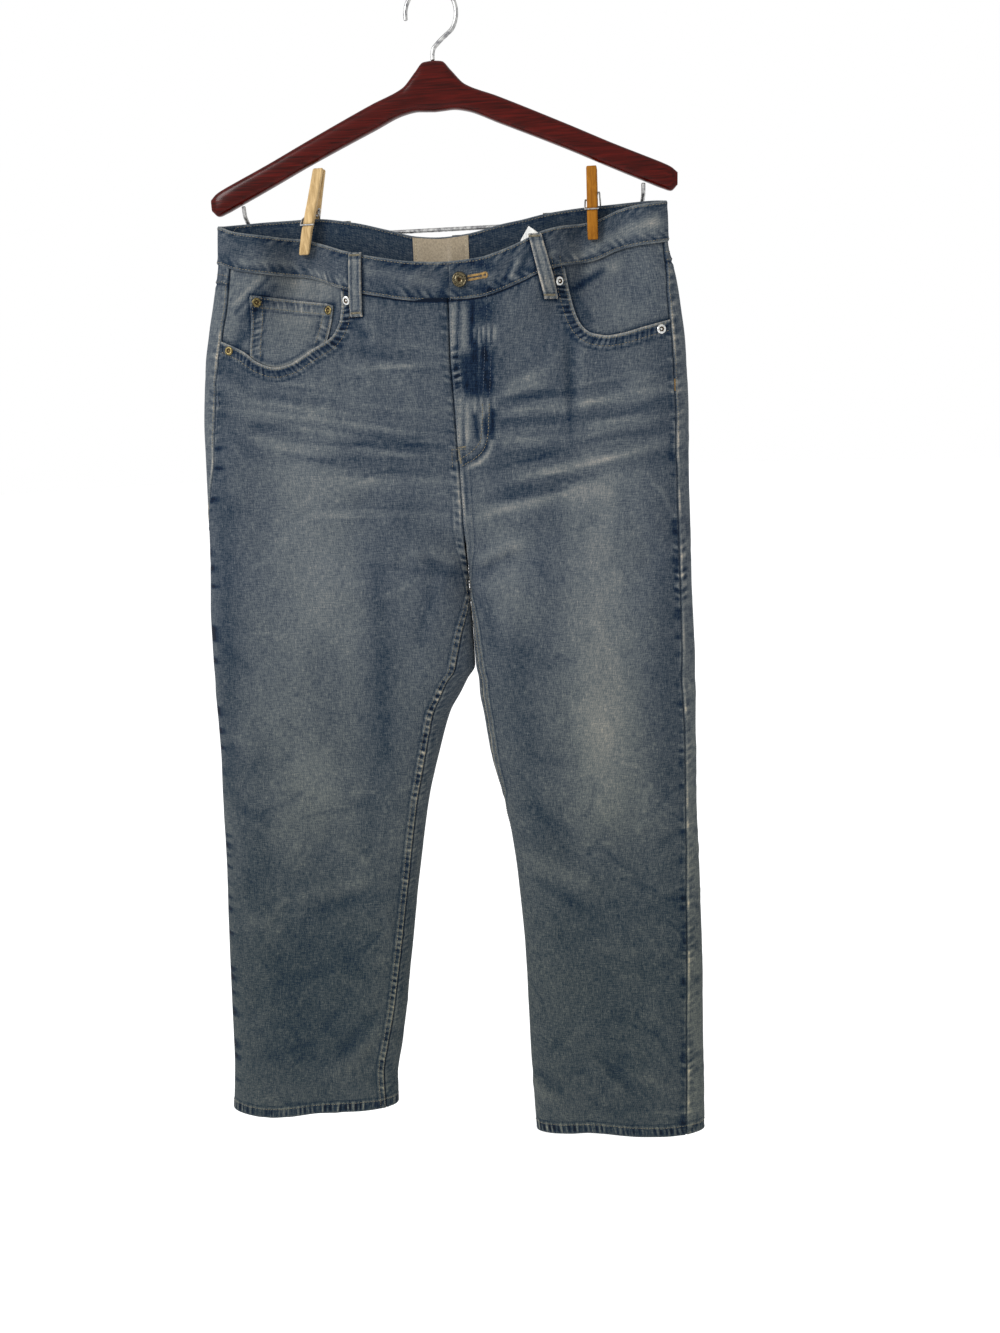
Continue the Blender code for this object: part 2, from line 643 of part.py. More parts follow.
def make_waistband():
    """One strip, from the buttoned end round the left side and back to the end under it."""
    left, right = SKINS["left"], SKINS["right"]
    seams = {side: SKINS[side].seam("out", PANEL_ROWS[:1])[0] for side in SIDES}
    share = np.linspace(0, 1, PANEL_COLUMNS + 1)
    band_z = TOP_EDGE_FRONT("z", FLAP_EDGE_X) - BAND_HEIGHT / 2
    first = left.on_face("front", FLAP_EDGE_X + FLAP_CLEAR, band_z)[0]
    last = right.on_face("front", FLAP_EDGE_X - FLAP_CLEAR, band_z)[0]
    u_left = np.concatenate([[first], (seams["left"] * share)[1:],
                             (seams["left"] + (2 - seams["left"]) * share)[1:-1], [1.998]])
    u_right = np.concatenate([[1.998], (2 - (2 - seams["right"]) * share)[1:],
                              (seams["right"] * (1 - share))[1:-1], [last]])
    under = left.on_face("front", FLAP_EDGE_X + UNDERLAP * np.linspace(0.2, 1, 4), band_z)[0]
    route = [("left", u) for u in u_left] + [("right", u) for u in u_right]
    route += [("left", u) for u in under]
    rows = np.array([-BAND_HEIGHT, -BAND_HEIGHT * 0.5, 0.0])
    outer = np.zeros((3, len(route), 3))
    inner = np.zeros_like(outer)
    below = BAND_WALL + SEAM_GAP + 0.2
    for k, (side, u) in enumerate(route):
        skin = SKINS[side]
        lift = BAND_PROUD
        if side == "right" and u < 1:
            x = float(skin.at(u, rows[1])[0])
            lift -= below * float(smooth_step((x - DIVE_FROM_X) / DIVE))
        if k >= len(u_left) + len(u_right):
            lift -= below
        outer[:, k] = skin.at(np.full(3, u), rows, np.full(3, lift))
        inner[:, k] = skin.at(np.full(3, u), rows, np.full(3, lift - BAND_WALL))
    wall("waistband", outer, inner, "denim")


LOOP_WIDTH, LOOP_HEIGHT, LOOP_WALL = 12.0, 58.0, 1.4
LOOP_STEP = 8.0   # a loop comes down off the band over this height
LOOPS = [
    # name, side, face, x at the top, x at the foot, how far it arches off the band
    ("belt_loop_front_right", "right", "front", -79.5, -82.5, 2.2),
    ("belt_loop_front_left", "left", "front", 94.0, 107.5, 2.2),
    ("belt_loop_side_right", "right", "back", -96.0, -97.0, 0.0),
    ("belt_loop_side_left", "left", "back", 106.0, 107.0, 0.0),
    ("belt_loop_back", "left", "back", 17.0, 17.0, 1.6),
]


def make_belt_loops():
    for name, side, face, x_top, x_foot, arch in LOOPS:
        edge = TOP_EDGE_FRONT if face == "front" else TOP_EDGE_BACK
        share = np.linspace(0, 1, 9)
        x = x_top + (x_foot - x_top) * share
        z = edge("z", x_top) - 0.5 - LOOP_HEIGHT * share
        over_band = smooth_step((BAND_HEIGHT + LOOP_STEP - share * LOOP_HEIGHT) / LOOP_STEP)
        lift = 2 * SEAM_GAP + BAND_PROUD * over_band + arch * np.sin(np.pi * share) ** 0.5
        half = np.array([-0.5, 0.0, 0.5]) * LOOP_WIDTH
        across = x[:, None] + half[None]
        u, row = SKINS[side].on_face(face, across, z[:, None] + 0 * across)
        low = np.repeat(lift[:, None], 3, axis=1)
        outer = SKINS[side].at(u, row, low + LOOP_WALL)
        wall(name, outer, SKINS[side].at(u, row, low), "denim")


# ---------------------------------------------------------------- trims
RIVETS = [
    # name, x, z, finish, how far it stands off the smooth cloth
    ("rivet_mouth_right", -91.0, -76.0, "bright_metal", 0.6),
    ("rivet_side_right", -214.0, -119.5, "dark_metal", 0.6),
    ("rivet_coin_outer", -184.0, -74.0, "dark_metal", -0.1),
    ("rivet_coin_inner", -114.5, -84.0, "dark_metal", 0.9),
    ("rivet_mouth_left", 114.0, -67.0, "bright_metal", 0.6),
    ("rivet_side_left", 212.0, -116.0, "bright_metal", 0.6),
]
RIVET_RADIUS = 4.3
RIVET_PROFILE = [(3.9, 0.0), (RIVET_RADIUS, 0.4), (3.9, 0.9), (2.4, 1.2), (1.4, 0.9)]
BUTTON = {"x": 21.0, "z": -62.5}
BUTTON_PROFILE = [(3.0, 0.0), (3.0, 1.6), (6.6, 1.8), (7.0, 2.7), (6.3, 3.6), (4.8, 3.3),
                  (1.6, 3.3)]


def make_trims():
    for name, x, z, finish, out in RIVETS:
        side = "right" if x < 0 else "left"
        u, row = SKINS[side].on_face("front", x, z)
        centre = SKINS[side].at(u, row, out)
        turned(name, RIVET_PROFILE, centre, outward(side, u, row), finish)
    u, row = SKINS["left"].on_face("front", BUTTON["x"], BUTTON["z"])
    centre = SKINS["left"].at(u, row, BAND_PROUD + SEAM_GAP)
    turned("button", BUTTON_PROFILE, centre, outward("left", u, row), "dark_metal", sides=22)


def outward(side, u, row):
    skin = SKINS[side]
    return skin.at(u, row, 1.0) - skin.at(u, row, 0.0)


def strip_inside(name, edges, depth, thick, finish, rows=10):
    """A flat strip under the left front: edges is (z, x inner, x outer) from the top down."""
    z_at, inner_at, outer_at = np.array(edges, float).T
    z = np.linspace(z_at[0], z_at[-1], rows + 1)
    low = np.interp(-z, -z_at, inner_at)
    high = np.interp(-z, -z_at, outer_at)
    x = low[:, None] + (high - low)[:, None] * np.linspace(0, 1, 5)
    skin = SKINS["left"]
    u, row = skin.on_face("front", x, z[:, None] + 0 * x)
    outer = skin.at(u, row, np.full(u.shape, -depth))
    wall(name, outer, skin.at(u, row, np.full(u.shape, -depth - thick)), finish)


FLY_LAYERS = [
    # name, wall, finish, rows of (z, inner x, outer x), from the outermost layer inwards
    ("fly_facing", 1.0, "denim", [(-84, 10.5, 50), (-180, 12, 45), (-210, 13, 42),
                                  (-228, 14, 33), (-238, 14.5, 21)]),
    ("zip", 1.2, "zip_tape", [(-84, 12, 34), (-226, 14.5, 30)]),
    ("fly_shield", 1.2, "denim", [(-84, 10.5, 46), (-220, 13.5, 42), (-240, 15, 24)]),
]


def make_fly():
    """Under the front: the fly's facing, the closed zip and the shield behind it."""
    depth = DENIM + SEAM_GAP
    for name, thick, finish, edges in FLY_LAYERS:
        strip_inside(name, edges, depth, thick, finish)
        depth += thick + SEAM_GAP


LABELS = [
    # name, x from, x to, lowest height, finish
    ("woven_label", -28.0, 27.0, -50.0, "label_cloth"),
    ("care_label", 78.0, 98.0, -31.0, "white_cloth"),
]
LABEL_WALL = 0.7
LABEL_BELOW_EDGE = 1.5


def make_labels():
    """Labels lie on the inside of the back of the waistband."""
    depth = BAND_WALL - BAND_PROUD + SEAM_GAP
    rows, columns = 4, 9
    for name, low, high, bottom, finish in LABELS:
        outer, inner = np.zeros((rows, columns, 3)), np.zeros((rows, columns, 3))
        for k, x in enumerate(np.linspace(low, high, columns)):
            skin = SKINS["right" if x < OUTLINE("right_in", 0.0) else "left"]
            top = TOP_EDGE_BACK("z", x) - LABEL_BELOW_EDGE
            u, row = skin.on_face("back", np.full(rows, x), np.linspace(top, bottom, rows))
            outer[:, k] = skin.at(u, row, np.full(rows, -depth))
            inner[:, k] = skin.at(u, row, np.full(rows, -depth - LABEL_WALL))
        wall(name, outer, inner, finish)


# ---------------------------------------------------------------- hanger and clothespins
HANGER = Table("x under over half_y", [
    (0, 92, 136, 8.5), (9, 92.5, 135, 8.5), (17, 93, 127, 8.5), (30, 91, 114, 8),
    (60, 79, 102, 7.5), (127, 51, 73, 7), (167, 33, 55, 7), (200, 18.5, 41, 7),
    (214, 12.5, 35, 6.6), (222, 10, 31, 5.5), (228, 15, 26, 3),
])
HOOK_WIRE = 4.0
HOOK_RADIUS = 24.0
HOOK_ARC = (-38.0, 190.0)   # degrees, from the stem over the top to the tip
HOOK_CENTRE_Z = HOOK_INSIDE_TOP + HOOK_WIRE / 2 - HOOK_RADIUS


def make_hanger():
    reach = [0, 6, 10, 14, 18, 24, 32, 45, 60, 95, 127, 167, 190, 205, 214, 220, 225, 228]
    x = np.array([-r for r in reach[::-1]] + reach[1:], float)
    ring = []
    corners = [(1, 0.5), (0.8, 0.86), (0.35, 1), (-0.35, 1), (-0.8, 0.86), (-1, 0.5),
               (-1, -0.5), (-0.8, -0.86), (-0.35, -1), (0.35, -1), (0.8, -0.86), (1, -0.5)]
    for station in x:
        under, over, half_y = (HANGER(c, abs(station)) for c in ("under", "over", "half_y"))
        middle, half_z = (under + over) / 2, (over - under) / 2
        ring.append([(station, y * half_y, middle + z * half_z) for y, z in corners])
    count = len(corners)
    faces = grid_faces(len(x), count, ring=True)
    first, last = list(range(count)), [(len(x) - 1) * count + k for k in range(count)]
    build("hanger_body", np.array(ring).reshape(-1, 3), faces + [first[::-1], last], "dark_wood")
    make_hook()
    make_bar()


def make_hook():
    stem_foot = float(HANGER("over", 0)) + SEAM_GAP
    turn = np.radians(np.linspace(*HOOK_ARC, 21))
    arc = [(HOOK_RADIUS * np.cos(a), 0, HOOK_CENTRE_Z + HOOK_RADIUS * np.sin(a)) for a in turn]
    stem = [(0, 0, stem_foot), (0, 0, stem_foot + 5), (1, 0, stem_foot + 9.5), (5, 0, stem_foot + 14)]
    tube("hanger_hook", stem + arc[1:], HOOK_WIRE / 2, "steel", sides=8)


BAR_END_X, BAR_BEND = 196.0, 22.0
BAR_LEAVES = 6.0      # above the bar, its ends lean forward to the arms over one bend's height
BAR_TOP_CLEAR = 1.7   # the arms' underside slants, so the flat ends stop this far below it


def bar_y():
    """The bar lies right behind the pinned waistband."""
    return PINNED_Y + PINNED_HALF + BAND_PROUD + SEAM_GAP + BAR_DIAMETER / 2


def make_bar():
    """A wire whose ends turn up into the underside of the arms."""
    turn = np.radians(np.linspace(90, 0, 7))
    corner = [(BAR_END_X - BAR_BEND * (1 - np.cos(a)), BAR_Z + BAR_BEND * (1 - np.sin(a))) for a in turn]
    half = corner + [(BAR_END_X, float(HANGER("under", BAR_END_X)) - BAR_TOP_CLEAR)]
    line = [(-x, z) for x, z in half[::-1]] + [(-60, BAR_Z), (60, BAR_Z)] + half
    tilt = [bar_y() * (1 - smooth_step((z - BAR_Z - BAR_LEAVES) / BAR_BEND)) for _, z in line]
    tube("hanger_bar", [(x, y, z) for (x, z), y in zip(line, tilt)], BAR_DIAMETER / 2, "steel")


PIN_LEG = Table("up thick inner", [
    # height above the jaws' end, thickness of the leg, half gap between the legs
    (0, 4.0, 7.2), (6, 5.5, 7.1), (22, 7.0, 7.1), (30, 7.0, 5.6), (38, 7.5, 4.6),
    (50, 6.5, 3.4), (84, 4.5, 1.2),
])
PIN_WIDTH = 10.0
JAW_FORWARD = 0.6
SPRING_UP = 40.0   # the spring's coil, above the jaws' end
CROSS_UP = 27.0    # where its wire crosses each leg
SPRING_WIRE = 1.6


def make_clothespins():
    front_y = PINNED_Y - PINNED_HALF - BAND_PROUD
    middle_y = (bar_y() + BAR_DIAMETER / 2 + front_y) / 2 - JAW_FORWARD
    for side, pin in PINS.items():
        for leg, sign in (("front", -1), ("back", 1)):
            make_pin_leg(f"clothespin_{side}_{leg}", pin, middle_y, sign)
        make_pin_spring(f"clothespin_{side}_spring", pin, middle_y)


def make_pin_leg(name, pin, middle_y, sign):
    """A wooden leg: a thin jaw, a thick middle behind the spring and a tapered handle."""
    ups = [up for up in (0, 3, 6, 14, 22, 30, 35, 45, 50, 58) if up < pin["length"] - 5]
    ups += [pin["length"] - 4, pin["length"]]
    rings = []
    for up in ups:
        near = PIN_LEG("inner", up)
        far = near + PIN_LEG("thick", up)
        half = PIN_WIDTH / 2 - (0.8 if up in (0, pin["length"]) else 0)
        cx, z = pin["x"] + pin["lean"] * up, PIN_BOTTOM + up
        bevel = 1.0
        outline = [(-half, near), (half, near), (half, far - bevel), (half - bevel, far),
                   (bevel - half, far), (-half, far - bevel)]
        rings.append([(cx + a, middle_y + sign * b, z) for a, b in outline])
    faces = grid_faces(len(ups), 6, ring=True)
    first, last = list(range(6)), [(len(ups) - 1) * 6 + k for k in range(6)]
    build(name, np.array(rings).reshape(-1, 3), faces + [first[::-1], last], pin["wood"])


def make_pin_spring(name, pin, middle_y):
    """A wire: across the front leg, round its side to the coil, and over the back leg."""
    coil_r = PIN_LEG("inner", SPRING_UP) - SPRING_WIRE / 2 - SEAM_GAP
    side = PIN_WIDTH / 2 + SPRING_WIRE / 2 + 0.8
    out = PIN_LEG("inner", CROSS_UP) + PIN_LEG("thick", CROSS_UP) + SPRING_WIRE / 2 + SEAM_GAP
    centre_z, low = PIN_BOTTOM + SPRING_UP, PIN_BOTTOM + CROSS_UP
    cx = pin["x"] + pin["lean"] * SPRING_UP
    below = pin["x"] + pin["lean"] * CROSS_UP
    count = 25
    coil = []
    for k in range(count + 1):
        angle = np.radians(-90) + 2 * np.pi * k / 10
        coil.append((cx - side + 1.2 + (2 * side - 2.4) * k / count,
                     middle_y + coil_r * np.cos(angle), centre_z + coil_r * np.sin(angle)))
    front = [(below + side, middle_y - out, low), (below - side, middle_y - out, low),
             (below - side - 0.4, middle_y - out / 2, low + 5),
             (cx - side - 0.2, middle_y - 1, centre_z - coil_r)]
    back = [(cx + side + 0.2, middle_y + 1, centre_z + coil_r),
            (below + side + 0.8, middle_y + out / 2, low + 5),
            (below + side, middle_y + out, low), (below - side, middle_y + out, low)]
    tube(name, front + coil + back, SPRING_WIRE / 2, "steel", sides=5)


def main():
    for old in list(bpy.data.objects):
        bpy.data.objects.remove(old, do_unlink=True)
    make_panels()
    make_coin_pocket()
    make_waistband()
    make_belt_loops()
    make_fly()
    make_trims()
    make_labels()
    make_hanger()
    make_clothespins()


main()
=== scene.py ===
# %% [markdown]
# # Straight leg jeans on a wooden hanger
# These are washed blue denim jeans, hung by the waistband from the bar of a suit hanger with two
# clothespins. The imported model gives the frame: it says where everything is and how large it is.
# This script dresses it: thin cloth shells with creases, stitches, metal trims and finishes.

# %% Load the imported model
import math

import bmesh
import bpy
import numpy as np
from mathutils import Matrix, Vector
from mathutils.bvhtree import BVHTree


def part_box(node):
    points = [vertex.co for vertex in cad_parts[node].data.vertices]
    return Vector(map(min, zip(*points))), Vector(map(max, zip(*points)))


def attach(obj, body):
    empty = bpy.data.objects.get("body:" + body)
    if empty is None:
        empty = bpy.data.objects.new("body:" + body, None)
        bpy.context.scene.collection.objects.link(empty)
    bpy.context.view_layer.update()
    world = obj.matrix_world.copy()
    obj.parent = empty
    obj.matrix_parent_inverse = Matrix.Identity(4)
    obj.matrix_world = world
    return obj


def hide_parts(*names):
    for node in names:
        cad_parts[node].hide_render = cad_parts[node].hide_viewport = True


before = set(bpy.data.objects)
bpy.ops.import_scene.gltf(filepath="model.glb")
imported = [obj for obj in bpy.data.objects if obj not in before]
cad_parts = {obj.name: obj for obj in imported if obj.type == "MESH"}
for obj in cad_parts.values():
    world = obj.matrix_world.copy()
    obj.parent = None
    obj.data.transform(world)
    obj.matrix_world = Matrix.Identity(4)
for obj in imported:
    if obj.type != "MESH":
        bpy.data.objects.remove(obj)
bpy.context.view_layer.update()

# %% [markdown]
# ## The body shape of the jeans
# The model is in metres, with its origin at the inside top of the hook. Sewing is easier to think
# of in millimetres, so the tables are in millimetres with z from the side corners of the
# waistband. They are the tables of the plain model, so a shell made from them fits it.

# %% Sizes
MM = 0.001
HOOK_INSIDE_TOP = 198.0   # above the waistband's corners
SEAM_GAP = 0.3            # between neighbouring pieces
DENIM = 1.4               # wall of a panel
BAND_HEIGHT = 36.0
BAND_WALL = 2.4           # folded waistband
BAND_PROUD = 1.0          # the band stands this far outside the panels
CROTCH_Z = -356.0
RISE_TURN = 66.0          # the rise seams turn under over this height
EDGE_ROUND = 52.0         # width of the rounded side of a flattened tube
CROWN = 0.12              # extra depth at the middle of a panel
HEM_FOLD = 13.0
HEM_WALL = 2.2
BAR_DIAMETER = 4.0
BAR_Z = -12.0
PINNED_HALF = 2.9         # half depth of the waist where a pin clamps it
PINNED_Y = 3.6            # and how far back the pins pull it, against the bar
LOWEST_Z = -1022.0
SAG_ENDS_Z, SAG_FADE = -230.0, 190.0      # the top edge's sag fades out down the hips
FOLDS_BEGIN, FOLDS_FADE_IN = 30.0, 30.0   # the large folds start below the waistband

SIDES = {"right": -1, "left": 1}
# Where each clothespin clamps the band, and where its handles end.
PINS = {
    "right": {"x": -137.0, "lean": 0.24, "length": 79.0, "wood": "pale_wood"},
    "left": {"x": 148.0, "lean": -0.01, "length": 66.0, "wood": "orange_wood"},
}
PIN_BOTTOM = -30.0
PINCH_HALF_WIDTH = 7.0                    # the waist is flat this far to each side of a pin
PINCH_SPREAD, PINCH_WIDENS = 24.0, 0.4    # then it opens over this width, wider lower down
PINCH_ENDS_Z, PINCH_FADE = -125.0, 85.0


class Table:
    """Rows of sizes with named columns, read smoothly between the rows."""

    def __init__(self, names, rows):
        self.names = names.split()
        rows = np.array(sorted(rows), float)
        self.at, self.rows = rows[:, 0], rows

    def __call__(self, name, at):
        """The column at these places: a cubic through the rows that never overshoots."""
        value = self.rows[:, self.names.index(name)]
        at = np.clip(np.asarray(at, float), self.at[0], self.at[-1])
        step = np.diff(self.at)
        slope = np.diff(value) / step
        tangent = np.zeros(len(value))
        for i in range(1, len(value) - 1):
            if slope[i - 1] * slope[i] > 0:
                tangent[i] = 2 / (1 / slope[i - 1] + 1 / slope[i])
        tangent[0], tangent[-1] = slope[0], slope[-1]
        i = np.clip(np.searchsorted(self.at, at, side="right") - 1, 0, len(step) - 1)
        t, h = (at - self.at[i]) / step[i], step[i]
        return (
            value[i] * (1 + 2 * t) * (1 - t) ** 2
            + value[i + 1] * t * t * (3 - 2 * t)
            + h * tangent[i] * t * (1 - t) ** 2
            + h * tangent[i + 1] * t * t * (t - 1)
        )


# Outline from the front: outer and inner edge of each half, below the band's corners.
OUTLINE = Table("z right_out right_in left_in left_out", [
    (10, -218, 9, 9, 216),
    (0, -219, 9, 9, 217),
    (-36, -223, 9, 9, 219),
    (-70, -231, 9, 9, 227),
    (-100, -239, 9, 9, 232),
    (-130, -246, 10, 10, 236),
    (-200, -255, 12, 12, 239),
    (-300, -261, 14, 14, 241),
    (-356, -266, 14, 14, 243),
    (-400, -270, 15.9, 16.0, 245),
    (-450, -272, 16.8, 17.4, 247),
    (-463, -272, 9, 19.5, 247),
    (-480, -273, 0, 20, 248),
    (-500, -273, -12, 23, 248),
    (-550, -274, -28, 30, 249),
    (-600, -277, -41, 43, 250),
    (-700, -283, -58, 55, 254),
    (-800, -290, -73, 60, 258),
    (-900, -296, -88, 62, 260),
    (-945, -299, -97, 63, 261),
    (-1022, -308, -101, 66, 262),
])
# Outline from the side: half the depth front to back, and where its middle lies.
DEPTH = Table("z half middle", [
    (10, 13.5, -12.2),
    (-36, 13.5, -12.2),
    (-70, 16, -12),
    (-120, 20.5, -10.5),
    (-200, 24, -8),
    (-300, 25, -6),
    (-450, 24, -4),
    (-600, 22, -3),
    (-800, 20, -1),
    (-1022, 18, 0),
])
# How far in front of the outline each seam lies; a negative one lies behind.
SEAMS = Table("z right_out right_in left_in left_out", [
    (0, 14, 0, 0, 4),
    (-36, 14, 0, 0, 4),
    (-85, 18, 0, 0, 11),
    (-138, 18, 0, 0, 13),
    (-221, 15, 0, 0, 13),
    (-253, 9, 0, 0, 12),
    (-300, 0, 0, 0, 12),
    (-370, -7, 0, 0, 12),
    (-420, -9, 12, 3, 13),
    (-463, -10, 20, 5, 14),
    (-523, -12, 14, 4, 12),
    (-594, -13, 11, 0, 12),
    (-700, -14, 10, -8, 15),
    (-850, -15, 12, -12, 19),
    (-917, -15, 15, -13, 20),
    (-1022, -15, 11, -14, 22),
])
# Top edge of the waistband across the front and across the back.
TOP_EDGE_FRONT = Table("x z", [
    (-218, -1), (-199, -8), (-165, -13), (-140, -15), (-116, -22), (-90, -31), (-60, -38),
    (-20, -44), (10, -45), (40, -43), (60, -38), (80, -31), (102, -22), (122, -17),
    (148, -13), (172, -6), (217, -1),
])
TOP_EDGE_BACK = Table("x z", [
    (-218, 0), (-172, 3), (-130, 4), (-87, -2), (-51, -11), (-24, -18), (0, -20), (26, -18),
    (59, -11), (79, -8), (107, -3), (150, 1), (198, 2), (217, 1),
])
# Bottom edge of each leg.
HEMS = {
    "right": Table("x z", [(-306, -1006), (-258, -1007), (-229, -1004), (-192, -997), (-97, -989)]),
    "left": Table("x z", [(65, -1017), (105, -1010), (132, -1007), (186, -1009), (262, -1005)]),
}
# Front pocket openings, from the waistband round to the outseam.
POCKET_MOUTHS = {
    "right": [(-96, -60), (-98, -80), (-101, -93), (-110, -110), (-129, -122), (-151, -134),
              (-166, -137), (-183, -132), (-198, -121), (-222, -110)],
    "left": [(118, -40), (121, -60), (127, -87), (135, -107), (146, -117), (162, -120),
             (177, -118), (197, -113), (222, -107)],
}
# Large folds: a ridge (height over 0) or trough along a line, on the front or the back.
FOLDS = [
    # face, x0, z0, x1, z1, width, height
    ("front", -225, -118, -150, -70, 12, -2.5),
    ("front", -238, -175, -120, -215, 16, -2.5),
    ("front", -236, -215, -95, -262, 15, 2.2),
    ("front", -228, -262, -80, -312, 15, -2.4),
    ("front", -215, -330, -70, -372, 18, 2.2),
    ("front", 125, -122, 128, -182, 9, -3.0),
    ("front", 226, -190, 110, -222, 14, 2.2),
    ("front", 222, -232, 92, -275, 15, -2.4),
    ("front", 214, -288, 84, -338, 16, 2.2),
    ("front", 185, -292, 205, -345, 12, -2.6),
    ("front", 60, -36, 112, -66, 12, 3.0),
    ("front", -118, -66, -60, -40, 14, 2.5),
    ("front", -55, -330, -10, -352, 12, -3.0),
    ("front", 80, -330, 30, -352, 12, -3.0),
    ("front", -190, -400, -176, -650, 40, 3.5),
    ("front", 140, -410, 150, -640, 36, 3.5),
    ("front", -115, -905, -150, -932, 16, -3.0),
    ("front", -255, -700, -205, -735, 18, -2.0),
    ("front", 90, -640, 140, -662, 16, -2.2),
    ("back", -200, -335, -60, -372, 16, -3.0),
    ("back", -190, -372, -50, -405, 15, 2.5),
    ("back", 190, -330, 70, -368, 16, -3.0),
    ("back", 180, -366, 66, -400, 15, 2.5),
    ("back", -235, -255, -170, -292, 14, -2.2),
    ("back", 225, -250, 165, -290, 14, -2.2),
    ("back", -190, -660, -120, -690, 20, -3.0),
    ("back", -230, -700, -150, -722, 18, 2.5),
    ("back", 210, -655, 130, -690, 20, -3.0),
    ("back", 200, -700, 120, -716, 18, 2.5),
]
print("outline rows:", len(OUTLINE.rows), "folds:", len(FOLDS))


# %% The skin of each half
def smooth_step(t):
    """0 up to t = 0, 1 from t = 1 on, and a smooth rise between."""
    t = np.clip(t, 0.0, 1.0)
    return t * t * (3 - 2 * t)


def bell(away, wide, middle=0.0):
    """1 at `middle`, fading to nothing over about twice `wide` on each side."""
    return np.exp(-(((away - middle) / wide) ** 2))


def round_end(t):
    """A quarter of a circle, from 0 at the tip to 1."""
    return np.sqrt(np.clip(1 - (1 - np.clip(t, 0.0, 1.0)) ** 2, 0.0, 1.0))


def fold_height(x, z, front):
    """How far the folds lift the cloth here; `front` is 1 on the front, 0 on the back."""
    total = np.zeros_like(x)
    for face, x0, z0, x1, z1, width, height in FOLDS:
        run = np.array([x1 - x0, z1 - z0], float)
        length = np.hypot(*run)
        along = ((x - x0) * run[0] + (z - z0) * run[1]) / length**2
        off = ((x - x0) * run[1] - (z - z0) * run[0]) / length
        ends = smooth_step((along + 0.15) / 0.35) * smooth_step((1.15 - along) / 0.35)
        side = front if face == "front" else 1 - front
        total += side * height * ends * bell(off, width)
    return total


